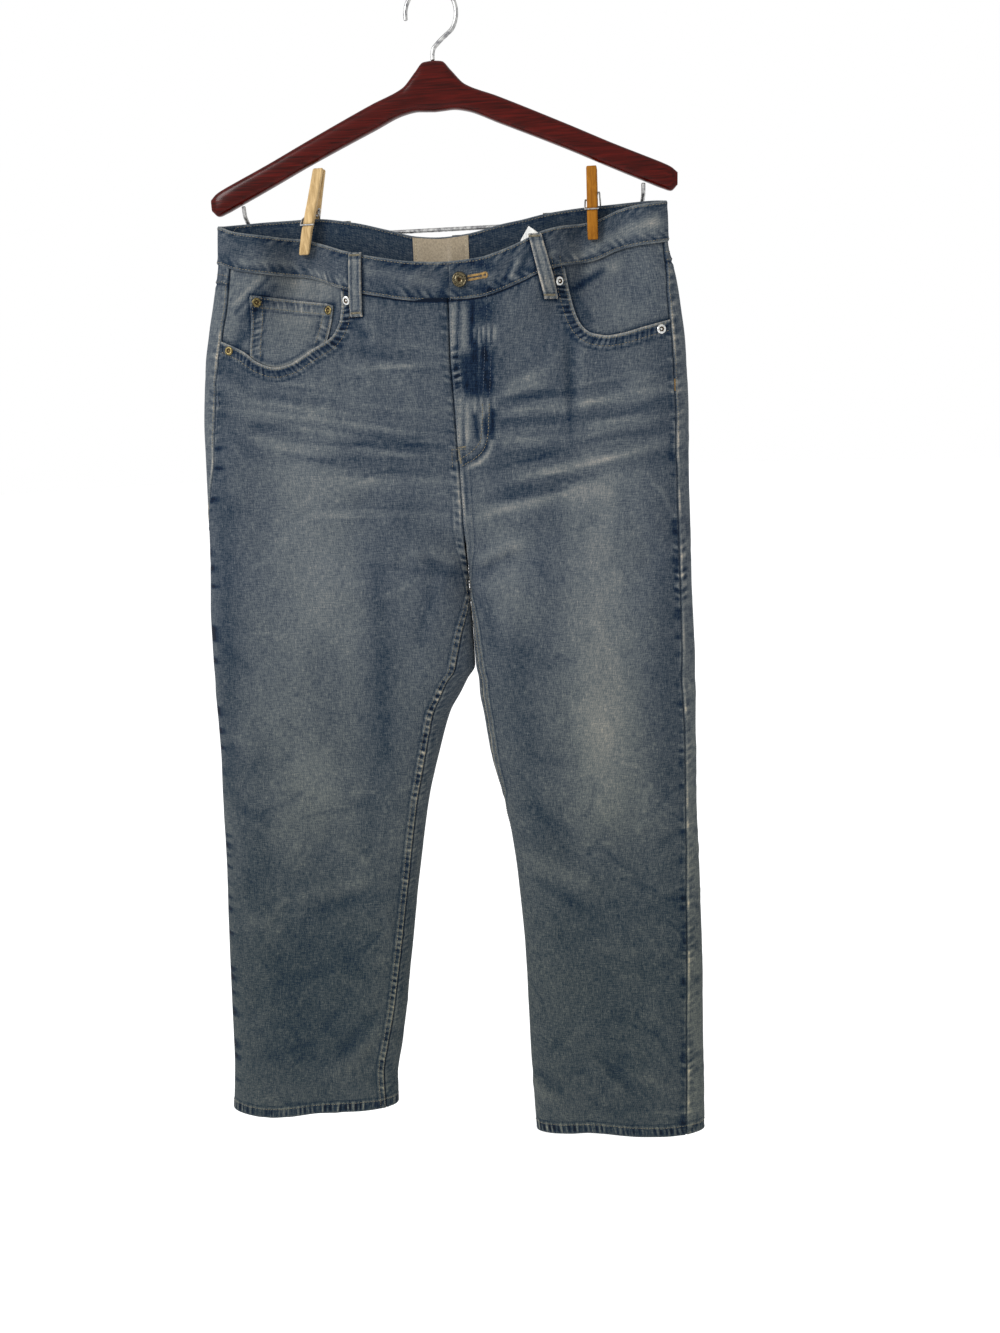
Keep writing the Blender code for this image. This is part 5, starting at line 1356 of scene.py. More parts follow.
def hem(cloth):
    """The folded hem: a thicker band whose puckers run right down to the edge."""
    up = cloth.z - cloth.z[-1:]
    cloth.seam(up, cloth.from_start, HEM_FOLD, 6.2, 1.9, slant=0.1, groove=0.0, ridge=0.0, pale=0.0)
    # Pale worn fold at the bottom and at the hem's top edge, and painted shade: a dark line just above
    # that edge. The hem band is a little darker.
    cloth.shade(up, (0.4, 1.6, 0), (0.5, 1.2, HEM_FOLD), (-0.5, 1.3, HEM_FOLD + 2.4))
    cloth.tone -= 0.25 * smooth_step((HEM_FOLD - up) / 2)
    cloth.lift += 0.35 * smooth_step((HEM_FOLD + 1 - up) / 2) - 0.5 * bell(up, 0.8)
    return DENIM + (HEM_WALL - DENIM) * smooth_step((HEM_FOLD + 2 - up) / 2)


# The mouth's rolled edge wears pale; past it is painted shade: dark lines beside the stitch rows and a
# darker stretch between them.
MOUTH_SHADES = ((1.05, 1.9, 0.6), (-0.8, 1.2, 4.2), (-0.3, 4.0, 7.5), (0.3, 1.3, 11.0), (-0.6, 1.2, 13.2))
for side in SIDES:
    left = side == "left"
    cloth = Cloth(side, *panel_grid(side, "front", FRONT_ROWS, share=FLY_SHARE))
    side_seams(cloth, True, left)
    fly_edges(cloth, left)
    cloth.seam(cloth.below_band(), cloth.from_start, 8.0, 9.0, 0.45, groove=0.35, ridge=0.3, pale=0.25)
    # Painted shadow under the waistband's lower edge.
    cloth.shade(cloth.below_band(), (-1.3, 2.3, 0))
    away, along = cloth.beside(mouth_line(side))
    cloth.seam(away, along, 12.5, 4.8, 1.5, groove=0.0, ridge=0.0, pale=0.0)
    cloth.lift += 0.9 * bell(away, 2.0, 1.2) + 0.3 * smooth_step((12.5 - away) / 3)
    cloth.shade(away, *MOUTH_SHADES)
    thick = hem(cloth)
    finish_panel(f"front_{side}", cloth, -cloth.inside(mouth_area(side)), thick)

for side in SIDES:
    cloth = Cloth(side, *panel_grid(side, "back", BACK_ROWS, yoke_edge(side)))
    side_seams(cloth, False, side == "left")
    cloth.seam(cloth.z[:1] - cloth.z, cloth.from_start, 9.0, 8.0, 0.5, groove=0.6, ridge=0.4, pale=0.3)
    finish_panel(f"back_{side}", cloth, thick=hem(cloth))

# %% [markdown]
# ## Yokes, facings and pockets
# What lies on a panel or under it is made from the same skin, moved out or in, so it follows the
# same folds. The facing fills the front pocket's mouth, and the coin pocket is sewn to it.

# %% Yokes, facings and pockets
YOKE_ROWS = 22
for side in SIDES:
    skin, edge = SKINS[side], yoke_edge(side)
    share = np.linspace(0, 1, YOKE_ROWS)[:, None]
    start = np.repeat(skin.seam("out", [-BAND_HEIGHT]), YOKE_ROWS)
    for _ in range(4):
        u = start[:, None] + (2 - start)[:, None] * PANEL_SHARE
        bottom = edge(skin.at(u, -70.0 + 0 * u)[..., 0])
        z = TOP_ROW_Z * (1 - share) + bottom * share
        start = skin.seam("out", z[:, 0])
    cloth = Cloth(side, u, z)
    cloth.seam(cloth.from_start, -z, 6.0, 10.0, 0.5, pale=0.45)
    cloth.seam(cloth.from_end, -z, 8.0, 9.0, 0.4)
    cloth.seam(z - bottom, cloth.from_start, 9.0, 8.0, 0.6, groove=0.5, ridge=0.6, pale=0.4)
    finish_panel(f"yoke_{side}", cloth)

FACING_DEPTH, FACING_WALL, FACING_REACH = DENIM + SEAM_GAP, 1.2, 14.0
COIN_TOP, COIN_SIDES, COIN_WALL = [(-109, -78), (-190, -67)], (-192.0, -115.0), 1.0
mouth = mouth_line("right", 0.4)[::-1]
coin_feet = [(x, float(np.interp(x, mouth[:, 0], mouth[:, 1]))) for x in COIN_SIDES]
between = [tuple(p) for p in mouth if COIN_SIDES[0] < p[0] < COIN_SIDES[1]]
coin_outline = COIN_TOP + [coin_feet[0]] + between + [coin_feet[1]]
coin_edges = [[COIN_TOP[1], coin_feet[0]], [COIN_TOP[0], coin_feet[1]]]
for side in SIDES:
    cloth = Cloth(side, *panel_grid(side, "front", np.arange(TOP_ROW_Z, -162, -2.6)), -FACING_DEPTH)
    cloth.seam(cloth.from_end, -cloth.place()[1], 6.0, 10.0, 0.3, groove=0.3, ridge=0.2, pale=0.2)
    cloth.tone += 0.1 if side == "left" else 0.34
    # Painted shade on the facing: under the waistband and along the front panel's mouth edge.
    cloth.shade(cloth.below_band(), (-0.35, 2.5, 0))
    cloth.shade(cloth.beside(mouth_line(side))[0], (-1.1, 2.8, 0))
    # Painted shade round the coin pocket's edges.
    if side == "right":
        cloth.shade(np.clip(-cloth.inside(coin_outline), 0, None), (-0.9, 2.2, 0))
    shown = cloth.inside(mouth_area(side, -FACING_REACH))
    finish_panel(f"pocket_facing_{side}", cloth, shown, FACING_WALL)

cloth = Cloth("right", *panel_grid("right", "front", np.arange(-56.0, -150, -1.9)),
              COIN_WALL + 0.15 - FACING_DEPTH)
inside = cloth.inside(coin_outline)
cloth.tone += 0.22
# Pale worn edges, and painted shade: dark lines inside the edge and beside the stitch rows.
cloth.shade(inside, (0.6, 1.3, 0), (-0.6, 1.1, 3.6))
away, along = cloth.beside(COIN_TOP)
cloth.seam(away, along, 11.0, 5.6, 0.6, groove=0.0, ridge=0.5, pale=0.3)
cloth.shade(away, (0.3, 1.3, 10.5), (-0.8, 1.1, 12.8))
for line in coin_edges:
    away, along = cloth.beside(line)
    cloth.seam(away, along, 11.0, 5.6, 0.8, groove=0.0, ridge=0.35, pale=0.25)
    cloth.shade(away, (0.4, 1.1, 10.2), (-0.8, 1.1, 12.2))
finish_panel("coin_pocket", cloth, inside, COIN_WALL)

BACK_POCKET = {"centre": 112.0, "top": -128.0, "width": 150.0, "low_width": 128.0,
               "side_height": 142.0, "point": 22.0, "wall": 1.4, "tilt": 8.0}
POCKET_OUTLINES = {}
for side, sign in SIDES.items():
    size = BACK_POCKET
    middle = float(OUTLINE("right_in", -200.0)) + sign * size["centre"]
    top, low_half = size["width"] / 2, size["low_width"] / 2
    tilt, foot = size["tilt"] / 2, size["top"] - size["side_height"]
    outline = [(middle - sign * top, size["top"] - tilt), (middle + sign * top, size["top"] + tilt),
               (middle + sign * low_half, foot + tilt / 2), (middle, foot - size["point"]),
               (middle - sign * low_half, foot - tilt / 2)]
    POCKET_OUTLINES[side] = outline
    grid = panel_grid(side, "back", np.arange(YOKE_SIDE_Z, -312, -2.6), yoke_edge(side))
    cloth = Cloth(side, *grid, SEAM_GAP + size["wall"])
    for line, width, strength, groove, pale in (
            (outline[1:] + outline[:1], 9.0, 0.6, 0.5, 0.5), (outline[:2], 15.0, 0.7, 0.4, 0.45)):
        away, along = cloth.beside(line)
        cloth.seam(away, along, width, 7.5, strength, groove=groove, ridge=0.3, pale=pale)
    finish_panel(f"back_pocket_{side}", cloth, cloth.inside(outline), size["wall"])
print("cloth pieces:", len(CLOTHS))

# %% [markdown]
# ## Waistband and belt loops
# The waistband is one folded strip. It starts at the buttoned end, goes round the left side, the
# back and the right side, and ends under its own start. Belt loops are narrow tubes, pressed flat,
# so their two edges stand up and the middle sinks.

# %% Waistband
FLAP_EDGE_X, UNDERLAP = 9.0, 34.0
DIVE_FROM_X, DIVE = -34.0, 34.0
NEARLY_ROUND = 1.998                  # u just before the centre back
BAND_ROWS = np.concatenate([
    [0, 0.5, 1.2, 2.2, 3.4], np.arange(5, 31.5, 1.9), [32.6, 33.8, 34.8, 35.5, 36.0]]) - BAND_HEIGHT
share = np.linspace(0, 1, 93)
left_seam, right_seam = (SKINS[side].seam("out", [-BAND_HEIGHT])[0] for side in ("left", "right"))
band_z = TOP_EDGE_FRONT("z", FLAP_EDGE_X) - BAND_HEIGHT / 2
first = SKINS["left"].on_face("front", FLAP_EDGE_X - 0.4, band_z)[0]
last = SKINS["right"].on_face("front", FLAP_EDGE_X - 0.6, band_z)[0]
u_left = np.concatenate([
    (left_seam * share)[1:], (left_seam + (2 - left_seam) * share)[1:-1], [NEARLY_ROUND]])
u_right = np.concatenate([
    [NEARLY_ROUND], (2 - (2 - right_seam) * share)[1:], (right_seam * (1 - share))[1:-1]])
u_left = np.concatenate([[first], u_left[u_left > first + 0.004]])
u_right = np.concatenate([u_right[u_right > last + 0.004], [last]])
under = SKINS["left"].on_face("front", FLAP_EDGE_X + UNDERLAP * np.linspace(0.05, 1, 12), band_z)[0]
BELOW = BAND_WALL + SEAM_GAP + 0.4
strips = []
for side, u, lift in (("left", u_left, 0.0), ("right", u_right, 0.0), ("left", under, -BELOW)):
    grid = Cloth(side, u[None, :], BAND_ROWS[:, None], BAND_PROUD + lift)
    if side == "right":
        grid.lift -= BELOW * smooth_step((grid.place()[0] - DIVE_FROM_X) / DIVE) * (grid.u < 1)
    strips.append(grid)
band = strips[0]
for name in ("u", "z", "smooth", "normal", "lift", "front", "tone", "crease"):
    setattr(band, name, np.concatenate([getattr(s, name) for s in strips], axis=1))
band.measure()
band.grain = np.stack([band.z, band.from_start, 0 * band.z], axis=-1) * MM
band.tone -= 0.12
band.crease *= 1.1
up, down = band.z + BAND_HEIGHT, -band.z
band.seam(up, band.from_start, 11.0, 11.0, 1.0, groove=0.0, ridge=0.25, pale=0.18, slant=1.1)
band.seam(down, band.from_start, 9.0, 12.0, 0.8, groove=0.0, ridge=0.2, pale=0.12, slant=1.1)
# Pale worn edges, and painted shade: a thin dark line inside each row of stitches.
band.shade(down, (0.8, 1.7, 0), (-0.35, 1.0, 3.2))
band.shade(up, (0.45 + 0.5 * ripple(band.from_start / 17), 1.3, 0), (-0.4, 1.2, 3.6))
band.shade(band.from_start, (0.5, 1.4, 0))
rounding = 0.7 * bell(up, 0.7) + 0.8 * bell(down, 0.7)
band.lift -= rounding
inner_data = {"tone": band.tone.ravel() - 0.4, "rope": band.rope.reshape(-1, 3) * (1, 1, 0.2)}
finish_panel("waistband", band, None, BAND_WALL + 0.1 - 2 * rounding, denim, inner_data)
print("strip:", round(float(band.from_start.max())), "mm long")

# %% Belt loops
share, across = np.linspace(0, 1, 42)[:, None], np.linspace(-0.5, 0.5, 15)[None, :]
side_away = LOOP_WIDTH * (0.5 - np.abs(across))
end_away = LOOP_HEIGHT * np.minimum(share, 1 - share)
over_band = smooth_step((BAND_HEIGHT + LOOP_STEP - share * LOOP_HEIGHT) / LOOP_STEP)
for name, side, face, x_top, x_foot, arch, tone in LOOPS:
    x = x_top + (x_foot - x_top) * share + LOOP_WIDTH * across
    z = TOP_EDGES[face]("z", x_top) + 0.5 - (LOOP_HEIGHT + 1) * share + 0 * x
    cloth = Cloth(side, *SKINS[side].on_face(face, x, z))
    cloth.crease *= 0.3
    cloth.lift = 2 * SEAM_GAP + BAND_PROUD * over_band + arch * np.sin(np.pi * share) ** 0.5 + LOOP_WALL
    cloth.lift = cloth.lift + 0.45 * bell(side_away, 1.3, 1.8) - 0.7 * bell(side_away, 0.5)
    cloth.lift += 0.3 * bell(end_away, 2.0, 3) - 0.5 * bell(end_away, 0.7)
    cloth.tone = tone + 0.12 * ripple(share * 9 + x_top) + 0 * x
    # Pale worn edges, and painted shade where the middle sinks inside them and past the folded ends.
    cloth.shade(side_away, (0.55, 1.0, 0.8), (-0.7, 0.8, 2.9))
    cloth.shade(end_away, (0.35, 1.2, 0), (-0.9, 0.9, 5.0))
    cloth.rope = np.stack(np.broadcast_arrays(share * 9, side_away / 4, 0.5), axis=-1)
    cloth.grain = np.stack([x, z, 0 * z], axis=-1) * MM
    finish_panel(name, cloth, thick=LOOP_WALL + 0.2)
print("belt loops:", len(LOOPS))

# %% [markdown]
# ## Stitches
# Every stitch is a small rounded bead of thread. Its place comes from a sewing line: either a
# line at a fixed distance beside a seam of a piece's grid, or a line drawn on the front or back
# and found on the cloth by a ray. Geometry Nodes then sets the beads along the lines.

# %% Sewing lines
surface_points = np.concatenate([p for p, _ in SURFACES])
starts = np.cumsum([0] + [len(p) for p, _ in SURFACES])
surface_faces = np.concatenate([f + s for (_, f), s in zip(SURFACES, starts)])
CLOTH_TREE = BVHTree.FromPolygons(surface_points.tolist(), surface_faces.tolist())
FACING_OUT = {"front": -1.0, "back": 1.0}
STITCH_PITCH, STITCH_LONG, THREAD_WIDE, THREAD_SINKS = 3.2, 2.5, 0.62, 0.12
OFF_LINE, TURNED = 0.12, 0.05         # how far hand and cloth let a stitch stray, and how much it turns
SEWN = {"tan": [], "gold": [], "blue": [], "pale": []}
sway = np.random.default_rng(8)


def on_cloth(x, z, face="front"):
    """(point, normal out of the cloth) where a ray from the front or back meets the cloth."""
    sign = FACING_OUT[face]
    point, normal, _, _ = CLOTH_TREE.ray_cast(Vector((x, 400 * sign, z)), Vector((0, -sign, 0)))
    if point is None:
        return None
    return np.array(point), np.array(normal) * (1 if normal.y * sign > 0 else -1)


def sew(thread, points, normals, wide=THREAD_WIDE):
    """Lays stitches along a path of points in millimetres."""
    points, normals = np.asarray(points, float), np.asarray(normals, float)
    length = running_length(points)
    at = np.arange(STITCH_PITCH / 2, length[-1], STITCH_PITCH)
    count = len(at)
    if count < 2:
        return
    read = lambda values, s: np.stack([np.interp(s, length, values[:, k]) for k in range(3)], axis=1)
    ahead, behind = (read(points, np.clip(at + step, 0, length[-1])) for step in (0.8, -0.8))
    along = unit_rows(ahead - behind)
    up = read(normals, at)
    up = unit_rows(up - along * (up * along).sum(axis=1, keepdims=True))
    across = np.cross(along, up)
    centre = read(points, at) + up * (wide / 2 - THREAD_SINKS)
    centre += across * sway.normal(0, OFF_LINE, count)[:, None]
    along = along + across * sway.normal(0, TURNED, count)[:, None]
    size = np.stack([STITCH_LONG * sway.uniform(0.9, 1.06, count), np.full(count, wide)], axis=1)
    SEWN[thread].append((centre, along, up, size))


def sew_one(thread, centre, along, up, long, wide):
    """Lays a single stitch."""
    SEWN[thread].append(tuple(np.array([v], float) for v in (centre, along, up, (long, wide))))


def edge_field(cloth, edge):
    """Distance from an edge of a piece's grid."""
    if edge in ("start", "end"):
        return cloth.from_start if edge == "start" else cloth.from_end
    return np.abs(cloth.z - (cloth.z[:1] if edge == "first row" else cloth.z[-1:]))


def sew_beside(thread, name, edge, away, keep=None, deeper=0.0):
    """Stitches at a distance from an edge of a piece, on its outside or `deeper` on its inside."""
    cloth = CLOTHS[name]
    outward = cloth.normal * (-1 if deeper else 1)
    grids = [edge_field(cloth, edge), cloth.points(deeper), outward, cloth.smooth]
    if edge.endswith("row"):
        grids = [np.swapaxes(v, 0, 1) for v in grids]
    path = []
    for values, line, up, place in zip(*grids):
        order = np.argsort(values)
        read = lambda v: np.array([np.interp(away, values[order], v[order, k]) for k in range(3)])
        if values[order[0]] <= away <= values[order[-1]] and (keep is None or keep(*read(place)[[0, 2]])):
            path.append((read(line), read(up)))
    if len(path) > 2:
        sew(thread, *zip(*path))


def sew_drawn(thread, line, face="front", wide=THREAD_WIDE):
    """Stitches along straight runs between points (x, z) on the front or the back."""
    found = [hit for hit in (on_cloth(x, z, face) for x, z in densified(line)) if hit is not None]
    if len(found) > 2:
        sew(thread, *zip(*found), wide)


def densified(line, step=2.0):
    """Points every `step` along straight runs."""
    line = np.array(line, float)
    points = [line[0]]
    for a, b in zip(line, line[1:]):
        count = max(1, int(np.hypot(*(b - a)) / step))
        points += [a + (b - a) * k / count for k in range(1, count + 1)]
    return points


def bartack(centre, direction, long, across, face="front", thread="gold"):
    """A dense block of zigzag thread that bars a seam's end."""
    run = np.array(direction, float) / np.hypot(*direction)
    side = np.array([-run[1], run[0]])
    for k in np.arange(-long / 2, long / 2, 0.75):
        a, b = (np.array(centre) + run * k + side * across * e for e in (-0.5, 0.5))
        hit = on_cloth(*((a + b) / 2), face)
        if hit is not None:
            middle, up = hit
            along = np.array([b[0] - a[0], 0, b[1] - a[1]])
            along = along - up * (along @ up)
            sew_one(thread, middle + up * 0.25, along / np.linalg.norm(along), up, across, 0.85)


for side in SIDES:
    for face in ("front", "back"):
        sew_beside("tan", f"{face}_{side}", "last row", HEM_FOLD - 1.0)
    for away in (1.6, INSEAM_BAND - 1.0):
        sew_beside("tan", f"front_{side}", "start", away, lambda x, z: z < CROTCH_Z + 4)
    sew_beside("tan", f"back_{side}", "start", 2.0, lambda x, z: z > -216)
    for away in (2.0, 9.5):
        sew_drawn("tan", mouth_line(side, -away)[1:-1])
    for away in (2.0, 9.0):
        sew_beside("tan", f"yoke_{side}", "last row", away)
for away in (1.8, 8.4):
    sew_beside("blue", "front_left", "start", away, lambda x, z: CROTCH_Z + 6 < z < -46)
    sew_beside("tan", "back_left", "end", away, lambda x, z: z > CROTCH_Z + 4)
    sew_beside("tan", "yoke_left", "end", away)
sew_beside("tan", "waistband", "first row", 2.2)
sew_beside("tan", "waistband", "last row", 2.4)
sew_beside("tan", "waistband", "last row", 2.4, lambda x, z: abs(x) < 205, deeper=BAND_WALL + 0.1)

# The fly's two curved rows are blue above and tan at their foot.
FLY_CURVE = [(52, -46), (52.5, -83), (50, -119), (46, -176),
             (43, -211), (39, -222), (30, -231), (13, -240)]
inner_curve = [(x - 6.5 * (1 if z > -215 else 0.75), z + (0 if z > -215 else 5.5)) for x, z in FLY_CURVE]
for curve in (FLY_CURVE, inner_curve):
    line = smooth_line(curve, 2.0)
    sew_drawn("blue", line[line[:, 1] > -180])
    sew_drawn("tan", line[line[:, 1] <= -178], wide=0.8)
sew_drawn("tan", [(6.5, -222), (22, -222)])
sew_drawn("tan", [(6.5, -240), (6.5, -222)])

low, high = (np.array(p, float) for p in COIN_TOP[::-1])
run = (high - low) / np.hypot(*(high - low))
down = np.array([run[1], -run[0]])
for away in (2.0, 10.6):
    sew_drawn("tan", [low + down * away + run, high + down * away - run])
    for line, inward in zip(coin_edges, (1, -1)):
        sew_drawn("tan", [(x + inward * away, z - 1.5) for x, z in line])
for outline in POCKET_OUTLINES.values():
    middle = np.mean(outline, axis=0)
    for away in (2.2, 8.6):
        inward = [np.array(p) + (middle - p) / np.linalg.norm(middle - p) * away * 1.35 for p in outline]
        sew_drawn("tan", inward[1:] + inward[:1], "back")
    for away in (2.5, 15.0):
        sew_drawn("tan", [(x + (middle[0] - x) * 0.03, z - away) for x, z in outline[:2]], "back")
    for x, z in outline[:2]:
        bartack((x + (middle[0] - x) * 0.05, z - 6), (0.05, 1), 9, 2.2, "back")

for _, _, face, x_top, x_foot, _, _ in LOOPS:
    top = TOP_EDGES[face]("z", x_top)
    for off in (-3.9, 3.9):
        sew_drawn("blue", [(x_top + off, top - 3), (x_foot + off, top - LOOP_HEIGHT + 3)], face, 0.5)
    for share, drop in ((0.02, 2.0), (0.97, LOOP_HEIGHT - 3.0)):
        bartack((x_top + (x_foot - x_top) * share, top - drop), (1, 0), 10.5, 2.6, face, "tan")
for centre, direction, long, across, thread in (
        ((225, -168), (0.02, -1), 11, 2.6, "gold"), ((-231, -168), (0.02, -1), 11, 2.6, "blue"),
        ((14.5, -229), (0.1, -1), 14, 2.2, "tan"), ((17, -220), (1, 0.1), 9, 1.8, "tan")):
    bartack(centre, direction, long, across, thread=thread)

# The buttonhole: two straight sides of gold thread and a round eye behind the button.
for k in np.arange(0, 1.001, 1 / 24):
    for off in (-1.7, 1.7):
        spot, up = on_cloth(29 + 16 * k, -61.5 + 2 * k + off)
        sew_one("gold", spot + up * 0.3, (0.15, 0, 1.0), up, 2.9, 1.2)
for angle in np.radians(np.arange(0, 360, 20)):
    away = np.array([math.cos(angle), math.sin(angle)])
    spot, up = on_cloth(*(np.array([45.5, -59.4]) + 2.3 * away))
    sew_one("gold", spot + up * 0.3, (away[0], 0, away[1]), up, 2.6, 1.1)

LABEL_ENDS_X, LABEL_DEPTH = (-25.2, 24.2), BAND_WALL - BAND_PROUD + SEAM_GAP
for x in LABEL_ENDS_X:
    z = np.linspace(TOP_EDGE_BACK("z", x) - 3, -49, 30)
    skin = SKINS["right" if x < OUTLINE("right_in", 0.0) else "left"]
    u, row = skin.on_face("back", x + 0 * z, z)
    near, far = (skin.at(u, row, -(LABEL_DEPTH + depth)) for depth in (0.6, 1.6))
    sew("pale", near, far - near, wide=0.75)
print("stitches:", {name: sum(len(g[0]) for g in groups) for name, groups in SEWN.items()})


# %% Stitches by Geometry Nodes
def stitch_tree():
    """Points with `along`, `up` and `size` become beads of thread."""
    tree = bpy.data.node_groups.new("sewn_stitches", "GeometryNodeTree")
    face = tree.interface
    face.new_socket("Geometry", in_out="INPUT", socket_type="NodeSocketGeometry")
    unit = face.new_socket("Unit", in_out="INPUT", socket_type="NodeSocketFloat")
    thread = face.new_socket("Thread", in_out="INPUT", socket_type="NodeSocketMaterial")
    face.new_socket("Geometry", in_out="OUTPUT", socket_type="NodeSocketGeometry")
    given = add(tree, "NodeGroupInput").outputs
    along, up, size = (
        add(tree, "GeometryNodeInputNamedAttribute", {"Name": key}, data_type="FLOAT_VECTOR").outputs[0]
        for key in ("along", "up", "size"))
    bead = add(tree, "GeometryNodeMeshUVSphere", {"Segments": 5, "Rings": 4, "Radius": 0.5})
    turned = add(tree, "FunctionNodeAlignRotationToVector", {"Vector": along}, axis="X")
    turned = add(tree, "FunctionNodeAlignRotationToVector", {
        "Rotation": turned.outputs[0], "Vector": up}, axis="Z", pivot_axis="X")
    scaled = add(tree, "ShaderNodeVectorMath", {0: size, "Scale": given["Unit"]}, operation="SCALE")
    laid = add(tree, "GeometryNodeInstanceOnPoints", {
        "Points": given["Geometry"], "Instance": bead.outputs["Mesh"],
        "Rotation": turned.outputs[0], "Scale": scaled.outputs[0]})
    real = add(tree, "GeometryNodeRealizeInstances", {"Geometry": laid.outputs[0]})
    smooth = add(tree, "GeometryNodeSetShadeSmooth", {"Geometry": real.outputs[0]})
    painted = add(tree, "GeometryNodeSetMaterial", {
        "Geometry": smooth.outputs[0], "Material": given["Thread"]})
    add(tree, "NodeGroupOutput", {"Geometry": painted.outputs[0]})
    return tree, unit.identifier, thread.identifier


def lay_stitches(name, groups, material):
    """One joined mesh of all the stitches of a thread."""
    centre, along, up, size = (np.concatenate([g[k] for g in groups]) for k in range(4))
    size = np.column_stack([size, size[:, 1] * 0.8])
    made = make_mesh(name, centre, [], [material], {"along": along, "up": up, "size": size})
    nodes = made.modifiers.new("stitches", "NODES")
    nodes.node_group = STITCHES
    nodes[UNIT], nodes[THREAD] = MM, material
    shown = bpy.data.meshes.new_from_object(made.evaluated_get(bpy.context.evaluated_depsgraph_get()))
    made.modifiers.remove(nodes)
    made.data = shown
    shown.name = name
    print(f"{name}: {len(centre)} stitches, {len(shown.polygons)} faces")
    dress(made, "denim")


STITCHES, UNIT, THREAD = stitch_tree()
lay_stitches("tan_stitches", SEWN["tan"], tan_thread)
lay_stitches("blue_stitches", SEWN["blue"], blue_thread)
lay_stitches("gold_bartacks", SEWN["gold"], gold_thread)
lay_stitches("label_stitches", SEWN["pale"], pale_thread)

# %% [markdown]
# ## Rivets, button and labels
# Rivets and the button are turned from profiles. Two rivets are bright nickel with a dark centre,
# the others aged brass. The button is a stamped shell with a raised rim and a domed centre.

# %% Rivets and button
def tube_faces(rows, sides):
    """Quads between closed rings of points, and a cap at either end."""
    around = [(r * sides + c, r * sides + (c + 1) % sides) for r in range(rows - 1) for c in range(sides)]
    quads = [(a, b, b + sides, a + sides) for a, b in around]
    return quads + [tuple(range(sides))[::-1], tuple((rows - 1) * sides + c for c in range(sides))]


def lathe(name, profile, centre, normal, materials, sides=40):
    """Turns rows of (radius, height, material) round the cloth's normal."""
    turn = Vector((0, 0, 1)).rotation_difference(Vector(normal)).to_matrix()
    angles = np.linspace(0, 2 * np.pi, sides, endpoint=False)
    points = [np.array(turn @ Vector((r * math.cos(t), r * math.sin(t), h))) + centre
              for r, h, _ in profile for t in angles]
    places = [row[2] for row in profile[1:] for _ in angles] + [profile[0][2], profile[-1][2]]
    return make_mesh(name, points, tube_faces(len(profile), sides), materials, places=places, sharp=35)


def on_node(node):
    """(x, z, point, normal) of the cloth in front of a CAD node's middle."""
    x, _, z = sum(np.array(v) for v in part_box(node)) / 2 / MM + (0, 0, HOOK_INSIDE_TOP)
    return x, z, *on_cloth(x, z)


RIVET = [(4.2, -0.9, 0), (4.3, 0.0, 0), (4.4, 0.35, 0), (4.15, 0.8, 0), (3.6, 1.08, 0), (2.9, 1.12, 0),
         (2.3, 1.0, 0), (2.1, 0.7, 1), (1.8, 0.35, 1), (1.35, 0.22, 1), (1.1, 0.3, 1), (0.9, 0.6, 0),
         (0.55, 0.8, 0), (0.15, 0.85, 0)]
RIVET_FINISH = {"rivet_mouth_right": nickel, "rivet_mouth_left": nickel, "rivet_side_left": nickel,
                "rivet_side_right": brass, "rivet_coin_outer": brass, "rivet_coin_inner": brass}
for name, finish in RIVET_FINISH.items():
    x, z, spot, normal = on_node(name)
    around = [on_cloth(x + dx, z + dz) for dx, dz in ((-4, 0), (4, 0), (0, -4), (0, 4))]
    normal = np.mean([n for _, n in around] + [normal], axis=0)
    normal /= np.linalg.norm(normal)
    high = max(0.0, *(float((p - spot) @ normal) for p, _ in around))
    seat = spot + normal * (0.5 * high + 0.15)
    made = lathe(name + "_turned", RIVET, seat, normal, [finish, dark_metal])
    dress(made, "trim_antique" if finish is brass else "trim_bright", name)

BUTTON = [(3.0, -1.4, 0), (3.0, 1.4, 0), (6.4, 1.6, 0), (7.0, 2.2, 0), (7.05, 2.8, 0), (6.7, 3.3, 0),
          (6.1, 3.45, 0), (5.5, 3.2, 0), (5.0, 2.85, 0), (4.5, 2.85, 0), (4.0, 3.1, 0), (3.5, 3.25, 0),
          (2.8, 3.25, 0), (2.0, 2.8, 0), (1.3, 2.5, 1), (0.8, 2.5, 1), (0.2, 2.75, 1)]
_, _, spot, normal = on_node("button")
made = lathe("button_turned", BUTTON, spot + normal * 0.1, normal, [gunmetal, dark_metal], sides=64)
dress(made, "trim_antique", "button")
print("rivets:", len(RIVET_FINISH))

